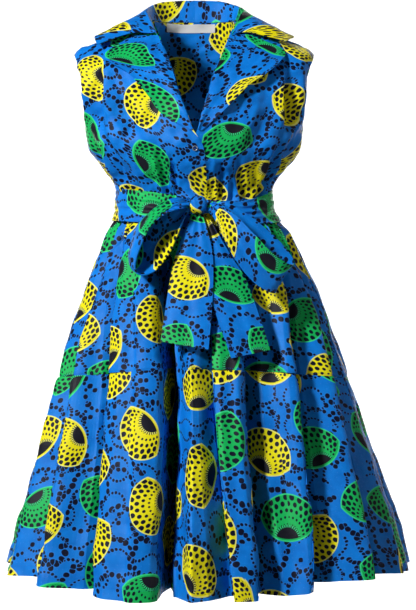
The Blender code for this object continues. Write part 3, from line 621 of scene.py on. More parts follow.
def soft_waves(points: np.ndarray, length: float, seed: int, count: int = 7) -> np.ndarray:
    """A gentle uneven field between about -1 and 1, the sum of a few plane waves.

    Args:
        points: Where it is read, in metres.
        length: The usual length of a wave.
        seed: Picks the waves.
        count: How many waves there are.

    Returns:
        One number for each point.
    """
    rng = np.random.default_rng(seed)
    total = np.zeros(points.shape[:-1])
    for _ in range(count):
        way = rng.normal(size=3)
        way /= np.linalg.norm(way)
        pace = 2 * np.pi / (length * rng.uniform(*WAVE_SPREAD))
        total += np.sin(points @ way * pace + rng.uniform(0, 2 * np.pi))
    return total / math.sqrt(count)


def drawn_in(table: Sequence[Crease], x: np.ndarray, z: np.ndarray) -> np.ndarray:
    """How far drag lines press the cloth in, each with a raised ridge beside it.

    Args:
        table: The drag lines.
        x: The place across, as seen from the front.
        z: The height.

    Returns:
        The depth at each place.
    """
    total = np.zeros(np.broadcast(x, z).shape)
    for crease in table:
        way_x, way_z = crease.end_x - crease.start_x, crease.end_z - crease.start_z
        length = math.hypot(way_x, way_z)
        along = ((x - crease.start_x) * way_x + (z - crease.start_z) * way_z) / length**2
        off = ((x - crease.start_x) * way_z - (z - crease.start_z) * way_x) / (length * crease.half_width)
        shape = np.exp(-(off**2))
        for ridge in (RIDGE_AT, -RIDGE_AT):
            shape = shape - RIDGE_SHARE * np.exp(-((off - ridge) ** 2))
        total += DRAG * crease.depth * shape * np.sin(np.pi * clamp(along) ** DRAG_PEAK)
    return total


def section_depth(depth: np.ndarray, cosine: np.ndarray) -> np.ndarray:
    """How far a section reaches forward at an angle with this cosine."""
    return np.copysign(depth * np.abs(cosine) ** ROUNDNESS, cosine)


class Reading:
    """A socket's value in shader maths. Each operator adds the Math node that works it out."""

    def __init__(self, weaver: "NodeWeaver", socket: bpy.types.NodeSocket) -> None:
        """Wraps one output socket of a tree."""
        self.weaver = weaver
        self.socket = socket

    def other(self, name: str) -> "Reading":
        """Another output of the same node."""
        return Reading(self.weaver, self.socket.node.outputs[name])

    def maths(self, operation: str, *values: "Reading | float") -> "Reading":
        """The result of a Math node on this value and the others."""
        return self.weaver.node("ShaderNodeMath", {"operation": operation}, dict(enumerate((self, *values))))

    def __add__(self, value: "Reading | float") -> "Reading":
        """self + value."""
        return self.maths("ADD", value)

    __radd__ = __add__

    def __mul__(self, value: "Reading | float") -> "Reading":
        """self * value."""
        return self.maths("MULTIPLY", value)

    __rmul__ = __mul__

    def __sub__(self, value: "Reading | float") -> "Reading":
        """self - value."""
        return self.maths("SUBTRACT", value)

    def __rsub__(self, value: float) -> "Reading":
        """value - self."""
        return self.weaver.node("ShaderNodeMath", {"operation": "SUBTRACT"}, {0: value, 1: self})

    def __truediv__(self, value: "Reading | float") -> "Reading":
        """self / value."""
        return self.maths("DIVIDE", value)

    def __rtruediv__(self, value: float) -> "Reading":
        """value / self."""
        return self.weaver.node("ShaderNodeMath", {"operation": "DIVIDE"}, {0: value, 1: self})

    def __pow__(self, value: float) -> "Reading":
        """self ** value."""
        return self.maths("POWER", value)

    def __abs__(self) -> "Reading":
        """abs(self)."""
        return self.maths("ABSOLUTE")

    def __gt__(self, value: "Reading | float") -> "Reading":
        """1 where self is above value, else 0."""
        return self.maths("GREATER_THAN", value)

    def __lt__(self, value: "Reading | float") -> "Reading":
        """1 where self is below value, else 0."""
        return self.maths("LESS_THAN", value)

    def floor(self) -> "Reading":
        """The whole number at or below."""
        return self.maths("FLOOR")

    def part(self) -> "Reading":
        """What is left above the whole number."""
        return self.maths("FRACT")

    def root(self) -> "Reading":
        """The square root."""
        return self.maths("SQRT")

    def sine(self) -> "Reading":
        """The sine, of an angle in radians."""
        return self.maths("SINE")

    def cosine(self) -> "Reading":
        """The cosine, of an angle in radians."""
        return self.maths("COSINE")

    def held(self) -> "Reading":
        """The value held between 0 and 1."""
        return self.weaver.node("ShaderNodeMath", {"operation": "ADD", "use_clamp": True}, {0: self, 1: 0.0})


class NodeWeaver:
    """Adds nodes to one material's tree."""

    def __init__(self, name: str) -> None:
        """Starts a material with its surface shader.

        Args:
            name: The material's name.
        """
        self.material = bpy.data.materials.new(name)
        self.material.use_nodes = True
        self.tree = self.material.node_tree
        self.shader = self.tree.nodes["Principled BSDF"]

    def node(self, kind: str, settings: dict | None = None, inputs: dict | None = None) -> Reading:
        """Adds any node.

        Args:
            kind: The node's type.
            settings: Its own settings, and a ramp's stops.
            inputs: Values or readings, by the socket's name or number.

        Returns:
            Its first output in use.
        """
        made = self.tree.nodes.new(kind)
        for name, value in (settings or {}).items():
            if name == "stops":
                self._stops(made, value)
            else:
                setattr(made, name, value)
        for socket, value in (inputs or {}).items():
            self.join(made.inputs[socket], value)
        return Reading(self, next(out for out in made.outputs if out.enabled))

    def _stops(self, ramp: bpy.types.Node, stops: Sequence[tuple[float, Colour]]) -> None:
        """Gives a colour ramp its stops."""
        while len(ramp.color_ramp.elements) < len(stops):
            ramp.color_ramp.elements.new(1.0)
        for element, (place, colour) in zip(ramp.color_ramp.elements, stops):
            element.position, element.color = place, colour

    def join(self, socket: bpy.types.NodeSocket, value: "Reading | float | Colour") -> None:
        """Links a reading into a socket, or sets its value."""
        if isinstance(value, Reading):
            self.tree.links.new(value.socket, socket)
        else:
            socket.default_value = value

    def blend(self, first: "Reading | Colour", second: "Reading | Colour", share: Reading) -> Reading:
        """Two colours mixed by a share of the second.

        Args:
            first: The colour at share 0.
            second: The colour at share 1.
            share: How much of the second there is.

        Returns:
            The mixed colour.
        """
        return self.node("ShaderNodeMix", {"data_type": "RGBA"}, {0: share, 6: first, 7: second})

    def point(self, x: "Reading | float", y: "Reading | float", z: float = 0.0) -> Reading:
        """A vector from its coordinates."""
        return self.node("ShaderNodeCombineXYZ", {}, {0: x, 1: y, 2: z})

    def chance(self, x: Reading, y: Reading, seed: float) -> tuple[Reading, Reading, Reading]:
        """Three chance numbers from 0 to 1 that belong to a cell.

        Args:
            x: The cell's column.
            y: The cell's row.
            seed: Picks another set.

        Returns:
            The three numbers.
        """
        noise = self.node("ShaderNodeTexWhiteNoise", {"noise_dimensions": "3D"}, {0: self.point(x, y, seed)})
        parts = self.node("ShaderNodeSeparateXYZ", {}, {0: noise.other("Color")})
        return parts, parts.other("Y"), parts.other("Z")

    def angle(self, y: Reading, x: Reading) -> Reading:
        """The angle of a direction in the cloth's plane."""
        return y.maths("ARCTAN2", x)

    def noise(self, place: Reading, scale: float, detail: float) -> Reading:
        """Flat noise, finer at a larger scale and rougher with more detail."""
        inputs = {"Vector": place, "Scale": scale, "Detail": detail}
        return self.node("ShaderNodeTexNoise", {"noise_dimensions": "2D"}, inputs)

    def weave(self, across: Reading, up: Reading, thread: float) -> Reading:
        """A plain weave's relief between -1 and 1, from the place and the threads' pitch."""
        return (across * (FULL_TURN / thread)).sine() * (up * (FULL_TURN / thread)).sine()

    def edge(self, inside: Reading, softness: float) -> Reading:
        """1 where a distance is positive, 0 where it is negative, over a soft edge."""
        return (inside / softness + 0.5).held()

    def bump(self, height: Reading, strength: float, distance: float) -> Reading:
        """A normal that stands for a small relief."""
        inputs = {"Strength": strength, "Distance": distance, "Height": height}
        return self.node("ShaderNodeBump", {}, inputs)


@dataclass(frozen=True)
class WaxPrint:
    """Printed cotton: a blue ground with chains of navy dots, and pointed seeds in yellow and green."""

    ground: Colour = (0.004, 0.235, 0.800, 1.0)
    ground_deep: Colour = (0.001, 0.145, 0.590, 1.0)
    dots: Colour = (0.003, 0.005, 0.022, 1.0)
    halo: Colour = (0.045, 0.240, 0.800, 1.0)
    yellow: Colour = (0.880, 0.790, 0.008, 1.0)
    yellow_pale: Colour = (0.900, 0.880, 0.180, 1.0)
    green: Colour = (0.008, 0.500, 0.110, 1.0)
    green_pale: Colour = (0.040, 0.720, 0.260, 1.0)
    heart: Colour = (0.010, 0.010, 0.018, 1.0)
    cell_width: float = 0.132
    cell_height: float = 0.124
    lattice_cosine: float = 0.882
    lattice_sine: float = 0.471
    jitter: float = 0.012
    half_length: float = 0.056
    above: float = 0.050
    below: float = 0.034
    outline: float = 0.0024
    heart_radius: float = 0.021
    heart_drop: float = 0.030
    bands: int = 5
    dots_each_turn: float = 31.0
    first_dot: float = 0.0011
    dot_step: float = 0.00105
    fringe: float = 0.0040
    ticks: float = 76.0
    softness: float = 0.0005
    gap: float = 0.0006
    thread: float = 0.00042
    roughness: float = 0.42
    specular: float = 0.14
    fade_scale: float = 90.0
    fade_shade: float = 0.10
    weave_shade: float = 0.03
    darkest: float = 0.94
    fade_relief: float = 2.0
    relief_strength: float = 0.25
    relief: float = 0.00012
    drift_scale: float = 9.0
    bend: float = 0.026
    wide: Chain = Chain(0.057, 4, 0.0047)
    fine: Chain = Chain(0.043, 5, 0.0027)
    fine_cosine: float = 0.80
    fine_sine: float = 0.60
    patch_scale: float = 38.0
    patch_contrast: float = 1.2
    patch_share: float = 0.4
    halo_width: float = 0.0009
    halo_share: float = 0.45
    bead_long: float = 0.7
    bead_round: float = 0.6
    bead_least: float = 0.62
    bead_by_cell: float = 0.38
    bead_by_bead: float = 0.22
    empty_cells: float = 0.16
    cluster_scale: float = 78.0
    cluster_scatter: float = 0.62
    cluster_squareness: float = 2.6
    cluster_least: float = 0.0038
    cluster_more: float = 0.0018
    stream_scale: float = 17.0
    stream_middle: float = 0.52
    stream_half: float = 0.040
    row_shift: float = 0.18
    row_pace: float = 2.4
    smaller: float = 0.12
    dot_wide: float = 1.25
    dot_high: float = 0.85
    dots_clear: float = 1.9
    heart_clear: float = 2.0
    green_share: float = 0.46
    tick_softness: float = 0.8

    def material(self) -> bpy.types.Material:
        """Builds the cotton's material.

        Returns:
            The finished material.
        """
        w = NodeWeaver("wax_print")
        uv = w.node("ShaderNodeUVMap", {"uv_map": UV_MAP})
        place = w.node("ShaderNodeSeparateXYZ", {}, {0: uv})
        u, v = place, place.other("Y")
        colour = self._ground(w, uv, u, v)
        colour = self._seeds(w, u, v, colour)
        fade = w.noise(uv, self.fade_scale, 3.0)
        weave = w.weave(u, v, self.thread)
        shade = self.darkest + self.fade_shade * fade + self.weave_shade * weave
        tinted = w.node("ShaderNodeHueSaturation", {}, {"Value": shade, "Saturation": 1.0, "Color": colour})
        w.join(w.shader.inputs["Base Color"], tinted)
        w.join(w.shader.inputs["Roughness"], self.roughness + self.fade_shade * fade)
        relief = w.bump(weave + self.fade_relief * fade, self.relief_strength, self.relief)
        w.join(w.shader.inputs["Normal"], relief)
        w.shader.inputs["Specular IOR Level"].default_value = self.specular
        return w.material

    def _ground(self, w: NodeWeaver, uv: Reading, u: Reading, v: Reading) -> Reading:
        """The ground: two nets of dotted curves, and clusters of large dots.

        Args:
            w: The material's nodes.
            uv: The place on the cloth.
            u: The place across.
            v: The place up.

        Returns:
            The ground's colour.
        """
        drift = w.noise(uv, self.drift_scale, 0.0)
        bend = w.node("ShaderNodeSeparateXYZ", {}, {0: drift.other("Color")})
        bent_u, bent_v = u + self.bend * bend, v + self.bend * bend.other("Y")
        wide = self._chain(w, bent_u, bent_v, self.wide, 1.0)
        turned_u = bent_u * self.fine_cosine + bent_v * self.fine_sine
        turned_v = bent_v * self.fine_cosine - bent_u * self.fine_sine
        fine = self._chain(w, turned_u, turned_v, self.fine, 2.0)
        large = self._clusters(w, uv)
        inside = self._beside(self._beside(wide, fine), large)
        patch = w.noise(uv, self.patch_scale, 2.0)
        deep = ((patch - 0.5) * self.patch_contrast + self.patch_share).held()
        base = w.blend(self.ground, self.ground_deep, deep)
        haloed = w.blend(base, self.halo, w.edge(inside + self.halo_width, self.softness) * self.halo_share)
        return w.blend(haloed, self.dots, w.edge(inside, self.softness))

    def _beside(self, first: Reading, second: Reading) -> Reading:
        """Two sets of dots together, with a thin gap of ground where one would run into the other.

        Args:
            first: How far inside a dot of the one set the place is.
            second: The same for the other set.

        Returns:
            How far inside a dot of either set the place is.
        """
        out_of_one = -1.0 * first.maths("MINIMUM", second) - self.gap
        parted = (abs(first - second) - self.gap).maths("MAXIMUM", out_of_one)
        return first.maths("MAXIMUM", second).maths("MINIMUM", parted)

    def _chain(self, w: NodeWeaver, u: Reading, v: Reading, chain: Chain, seed: float) -> Reading:
        """Curves of dots that run on from cell to cell: each cell joins its sides by two quarter rings.

        Args:
            w: The material's nodes.
            u: The place across.
            v: The place up.
            chain: The curves' sizes.
            seed: Picks the cells' turns.

        Returns:
            How far inside a dot the place is, negative outside.
        """
        x, y = u / chain.cell, v / chain.cell
        column_, row = x.floor(), y.floor()
        turn, gap, size = w.chance(column_, row, seed)
        flip = 1.0 - 2.0 * (turn > 0.5)
        px, py = (x - column_ - 0.5) * flip, y - row - 0.5
        side = 1.0 - 2.0 * ((px + py) > 0.0)
        qx, qy = px * side + 0.5, py * side + 0.5
        ring = (qx * qx + qy * qy).root()
        step = w.angle(qy, qx) * (chain.count / (math.pi / 2))
        pace = math.pi / 4 * chain.cell / chain.count
        along = (step.part() - 0.5) * pace
        off = (ring - 0.5) * chain.cell
        larger, rounder, _ = w.chance(column_ * 7.0 + step.floor(), row * 5.0 + side, seed + 0.5)
        away = (along * along + off * off * (self.bead_long + self.bead_round * rounder)).root()
        grown = chain.radius * (self.bead_least + self.bead_by_cell * size + self.bead_by_bead * larger)
        return grown * (gap > self.empty_cells) - away

    def _clusters(self, w: NodeWeaver, uv: Reading) -> Reading:
        """Large dots, some of them oblong, that gather in streams.

        Args:
            w: The material's nodes.
            uv: The place on the cloth.

        Returns:
            How far inside a dot the place is, negative outside.
        """
        settings = {"voronoi_dimensions": "2D", "feature": "F1", "distance": "MINKOWSKI"}
        inputs = {"Vector": uv, "Scale": self.cluster_scale, "Randomness": self.cluster_scatter}
        inputs["Exponent"] = self.cluster_squareness
        cells = w.node("ShaderNodeTexVoronoi", settings, inputs)
        stream = w.noise(cells.other("Position"), self.stream_scale, 0.0)
        near = self.stream_half - abs(stream - self.stream_middle)
        size = w.node("ShaderNodeSeparateXYZ", {}, {0: cells.other("Color")})
        radius = (self.cluster_least + self.cluster_more * size) * (near > 0.0)
        return radius - cells / self.cluster_scale

    def _seeds(self, w: NodeWeaver, u: Reading, v: Reading, ground: Reading) -> Reading:
        """Pointed seeds in staggered rows, each turned its own way, with rows of dots and a dark heart.

        Args:
            w: The material's nodes.
            u: The place across.
            v: The place up.
            ground: The ground's colour.

        Returns:
            The print's colour.
        """
        turned_u = u * self.lattice_cosine + v * self.lattice_sine
        turned_v = v * self.lattice_cosine - u * self.lattice_sine
        y = turned_v / self.cell_height
        row = y.floor()
        x = turned_u / self.cell_width + row * 0.5 + self.row_shift * (row * self.row_pace).sine()
        column_ = x.floor()
        tone, turn, _ = w.chance(column_, row, 11.0)
        shift_x, shift_y, size = w.chance(column_, row, 12.0)
        dx = (x - column_ - 0.5) * self.cell_width - (shift_x - 0.5) * self.jitter
        dy = (y - row - 0.5) * self.cell_height - (shift_y - 0.5) * self.jitter
        spin = turn * FULL_TURN
        cos, sin = spin.cosine(), spin.sine()
        grow = 1.0 + self.smaller * size
        lx, ly = (dx * cos + dy * sin) * grow, (dy * cos - dx * sin) * grow
        upper = (self.half_length**2 + self.above**2) / (2 * self.above)
        lower = (self.half_length**2 + self.below**2) / (2 * self.below)
        over, under = ly + (upper - self.above), (lower - self.below) - ly
        from_top = upper - (lx * lx + over * over).root()
        from_foot = lower - (lx * lx + under * under).root()
        inside = from_top.maths("MINIMUM", from_foot)
        raised = ly + self.heart_drop
        ring = (lx * lx + raised * raised).root() - self.heart_radius
        reach = ring + from_top
        rows = ring / reach * self.bands
        band = rows.floor()
        around = w.angle(lx, raised) * (self.dots_each_turn / FULL_TURN) + band * 0.5
        dot_x = (around.part() - 0.5) * (FULL_TURN / self.dots_each_turn) * (ring + self.heart_radius)
        dot_y = (rows - band - 0.5) * reach / self.bands
        dot_away = (dot_x * dot_x * self.dot_wide + dot_y * dot_y * self.dot_high).root()
        dot = (self.first_dot + self.dot_step * band) - dot_away
        in_bands = (band > -0.5) * (band < self.bands - 0.5) * (from_foot > self.outline * self.dots_clear)
        heart_foot = self.outline * self.heart_clear
        heart = (0.0 - ring).maths("MINIMUM", from_foot - heart_foot)
        ticks = w.edge((w.angle(lx, raised) * (self.ticks / 2)).sine(), self.tick_softness)
        in_fringe = w.edge(self.fringe - ring, self.softness) * (from_foot > heart_foot)
        yellow = tone > self.green_share
        main = w.blend(self.green, self.yellow, yellow)
        pale = w.blend(self.green_pale, self.yellow_pale, yellow)
        inked = w.blend(main, self.dots, w.edge(dot, self.softness) * in_bands * (ring > self.fringe))
        fringed = w.blend(inked, w.blend(self.heart, pale, ticks), in_fringe)
        hearted = w.blend(fringed, self.heart, w.edge(heart, self.softness))
        outlined = w.blend(hearted, pale, w.edge(self.outline - inside, self.softness))
        return w.blend(ground, outlined, w.edge(inside, self.softness))


@dataclass(frozen=True)
class PlainCloth:
    """A plain woven tape or thread."""

    name: str
    colour: Colour
    roughness: float
    thread: float
    dark: float = 0.78
    middle: float = 0.75
    swing: float = 0.25
    rough_swing: float = 0.05
    relief_strength: float = 0.3
    relief: float = 0.0001

    def material(self) -> bpy.types.Material:
        """Builds the material of a plain weave.

        Returns:
            The finished material.
        """
        w = NodeWeaver(self.name)
        place = w.node("ShaderNodeSeparateXYZ", {}, {0: w.node("ShaderNodeTexCoord").other("Object")})
        weave = w.weave(place, place.other("Z"), self.thread)
        dark = tuple(c * self.dark for c in self.colour[:3]) + (1.0,)
        w.join(w.shader.inputs["Base Color"], w.blend(dark, self.colour, self.middle + self.swing * weave))
        w.join(w.shader.inputs["Roughness"], self.roughness + self.rough_swing * weave)
        w.join(w.shader.inputs["Normal"], w.bump(weave, self.relief_strength, self.relief))
        return w.material


@dataclass(frozen=True)
class ButtonPlastic:
    """Dark polished plastic with a painted highlight: a pale ring, standing in for light glinting on the
    rim, lies between two distances from the button's middle.
    """

    centre: tuple[float, float, float]
    inner: float
    outer: float
    colour: Colour = (0.006, 0.010, 0.030, 1.0)
    cloudy: Colour = (0.020, 0.030, 0.070, 1.0)
    # Painted highlight: the pale ring's colour, which stands in for light glinting on the button's rim
    rim: Colour = (0.170, 0.230, 0.350, 1.0)
    roughness: float = 0.18
    cloud_scale: float = 420.0
    cloud_share: float = 0.4
    cloud_contrast: float = 2.0
    cloud_rough: float = 0.10
    softness: float = 0.0002
    coat: float = 0.4

    def material(self) -> bpy.types.Material:
        """Builds the button's material.

        Returns:
            The finished material.
        """
        w = NodeWeaver("button")
        place = w.node("ShaderNodeTexCoord").other("Object")
        cloud = w.node("ShaderNodeTexNoise", {}, {"Vector": place, "Scale": self.cloud_scale, "Detail": 3.0})
        away = w.node("ShaderNodeVectorMath", {"operation": "DISTANCE"}, {0: place, 1: self.centre})
        # Painted highlight: the ring where the glint's pale colour is painted
        on_glint_ring = w.edge(away - self.inner, self.softness) * w.edge(self.outer - away, self.softness)
        clouded = ((cloud - self.cloud_share) * self.cloud_contrast).held()
        body = w.blend(self.colour, self.cloudy, clouded)
        w.join(w.shader.inputs["Base Color"], w.blend(body, self.rim, on_glint_ring))
        w.join(w.shader.inputs["Roughness"], self.roughness + self.cloud_rough * cloud)
        w.shader.inputs["Coat Weight"].default_value = self.coat
        return w.material


@dataclass(frozen=True)
class StudioPaper:
    """The pale floor and backdrop."""

    colour: Colour = (0.42, 0.42, 0.42, 1.0)
    roughness: float = 0.9

    def material(self) -> bpy.types.Material:
        """Builds the paper's material.

        Returns:
            The finished material.
        """
        w = NodeWeaver("studio_paper")
        w.shader.inputs["Base Color"].default_value = self.colour
        w.shader.inputs["Roughness"].default_value = self.roughness
        return w.material


@dataclass(frozen=True)
class Cut:
    """The flat size that a piece was cut to, how it is held, and how much of that rectangle it fills."""

    width: float
    length: float
    held: Held
    share: float = 1.0


THREAD = PlainCloth("thread", (0.010, 0.110, 0.560, 1.0), 0.6, 0.0006)
TAPE = PlainCloth("label_tape", (0.76, 0.76, 0.77, 1.0), 0.7, 0.0011)
CUTS = {
    "bodice_front": Cut(0.27, 0.40, Held.DRAPED, 0.81),
    "bodice_back": Cut(0.56, 0.395, Held.DRAPED, 0.85),
    "collar": Cut(0.50, 0.115, Held.FOLDED, 0.86),
    "lapel": Cut(0.10, 0.25, Held.FOLDED, 0.66),
    "skirt_upper": Cut(1.40, 0.345, Held.GATHERED, 0.69),
    "skirt_lower": Cut(2.05, 0.385, Held.GATHERED, 0.83),
    "belt": Cut(0.435, 0.060, Held.GATHERED),
    "bow_loop": Cut(0.40, 0.057, Held.FOLDED, 0.9),
    "tail": Cut(0.085, 0.27, Held.HUNG, 0.78),
}


@dataclass
class ClothGrid:
    """A piece of cloth laid on a surface, as a wall with its thickness to the inside."""

    name: str
    cells: tuple[int, int]
    place: Place
    cut: Cut
    thickness: float = 0.0011
    turned: bool = False
    panels: np.ndarray | None = None
    crumple: float = 0.0006
    crumple_length: float = 0.055
    fine_share: float = 0.4
    fine_pace: float = 2.6
    sharp: float = math.radians(50)
    points: np.ndarray = field(init=False)
    normals: np.ndarray = field(init=False)

    def __post_init__(self) -> None:
        """Works out the fine surface."""
        across = np.linspace(0.0, 1.0, self.cells[0] + 1)[None, :]
        up = np.linspace(0.0, 1.0, self.cells[1] + 1)[:, None]
        flat = self.place(across, up)
        self.normals = self._way_out(flat)
        seed = sum(map(ord, self.name))
        waves = soft_waves(flat, self.crumple_length, seed)
        waves += self.fine_share * soft_waves(flat, self.crumple_length / self.fine_pace, seed + 1)
        self.points = flat + self.normals * (self.crumple * (waves - 1.0))[..., None]
        self.normals = self._way_out(self.points)

    def _way_out(self, points: np.ndarray) -> np.ndarray:
        """The direction out of the cloth at each point."""
        out = np.cross(np.gradient(points, axis=1), np.gradient(points, axis=0))
        out /= np.maximum(np.linalg.norm(out, axis=-1, keepdims=True), TINY)
        return -out if self.turned else out

    def at(self, across: np.ndarray, up: np.ndarray) -> tuple[np.ndarray, np.ndarray]:
        """The surface and its way out at any place, between the grid's points.

        Args:
            across: Shares along the rows.
            up: Shares along the columns.

        Returns:
            The points and the normals.
        """
        x, y = clamp(across) * self.cells[0], clamp(up) * self.cells[1]
        i, j = np.minimum(x.astype(int), self.cells[0] - 1), np.minimum(y.astype(int), self.cells[1] - 1)
        s, t = (x - i)[:, None], (y - j)[:, None]

        def read(grid: np.ndarray) -> np.ndarray:
            """Reads one grid between its points."""
            low = mix(grid[j, i], grid[j, i + 1], s)
            return mix(low, mix(grid[j + 1, i], grid[j + 1, i + 1], s), t)

        return read(self.points), read(self.normals)

    def flat_lengths(self) -> tuple[np.ndarray, np.ndarray]:
        """How far each point lies along its row, and how far up, on the flat cloth."""
        along = np.zeros(self.points.shape[:2])
        along[:, 1:] = np.cumsum(np.linalg.norm(np.diff(self.points, axis=1), axis=-1), axis=1)
        climb = np.linalg.norm(np.diff(self.points, axis=0), axis=-1).mean(axis=1)
        up = np.concatenate(([0.0], np.cumsum(climb)))[:, None] + np.zeros_like(along)
        return along, up

    def build(self, finish: bpy.types.Material) -> bpy.types.Object:
        """Args:
            finish: The cloth's material.

        Returns:
            The finished object.
        """
        made = bmesh.new()
        bmesh.ops.create_grid(made, x_segments=self.cells[0], y_segments=self.cells[1], size=0.5)
        col_at = made.verts.layers.int.new("col")
        row_at = made.verts.layers.int.new("row")
        for vertex in made.verts:
            vertex[col_at] = round((vertex.co.x + 0.5) * self.cells[0])
            vertex[row_at] = round((vertex.co.y + 0.5) * self.cells[1])
        grown = bmesh.ops.extrude_face_region(made, geom=made.faces[:], use_keep_orig=True)
        inside = {item for item in grown["geom"] if isinstance(item, bmesh.types.BMVert)}
        inner = self.points - self.normals * self.thickness
        for vertex in made.verts:
            grid = inner if vertex in inside else self.points
            vertex.co = grid[vertex[row_at], vertex[col_at]]
        self._lay_print(made, col_at, row_at)
        bmesh.ops.recalc_face_normals(made, faces=made.faces)
        if made.calc_volume(signed=True) < 0.0:
            bmesh.ops.reverse_faces(made, faces=made.faces)
        for edge in made.edges:
            edge.smooth = edge.calc_face_angle(0.0) < self.sharp
        obj = add_piece(self.name, made, finish)
        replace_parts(obj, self.name)
        return obj

    def _lay_print(self, made: bmesh.types.BMesh, col_at: object, row_at: object) -> None:
        """Gives the faces their places on the printed cloth, panel by panel.

        Args:
            made: The piece's mesh.
            col_at: The layer with each point's column.
            row_at: The layer with each point's row.
        """
        along, up = self.flat_lengths()
        lines = self.panels if self.panels is not None else np.full((len(along), 1), self.cells[0] / 2)
        rows = np.arange(len(along))[:, None]
        anchor = along[rows, np.clip(lines.astype(int), 0, self.cells[0])]
        base = anchor[0]
        borders = (lines[:, 1:] + lines[:, :-1]) / 2
        layer = made.loops.layers.uv.new(UV_MAP)
        shift_u, shift_v = PRINT_AT[self.name]
        for face in made.faces:
            j = min(vertex[row_at] for vertex in face.verts)
            i = min(vertex[col_at] for vertex in face.verts) + 0.5
            panel = int(np.searchsorted(borders[j], i))
            for loop in face.loops:
                row, col = loop.vert[row_at], loop.vert[col_at]
                u = along[row, col] - anchor[row, panel] + base[panel]
                loop[layer].uv = (u + shift_u, up[row, col] + shift_v)


def add_piece(
    name: str, made: bmesh.types.BMesh, finish: bpy.types.Material
) -> bpy.types.Object:
    """Turns a mesh in the making into a piece that rides on the dress.

    Args:
        name: The piece's name.
        made: The mesh, which is used up.
        finish: Its material.

    Returns:
        The new object.
    """
    mesh = bpy.data.meshes.new(name)
    made.to_mesh(mesh)
    made.free()
    mesh.materials.append(finish)
    obj = bpy.data.objects.new(f"{name}_look", mesh)
    bpy.context.scene.collection.objects.link(obj)
    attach(obj, BODY)
    LOG.info("%s: %d faces", name, len(mesh.polygons))
    return obj


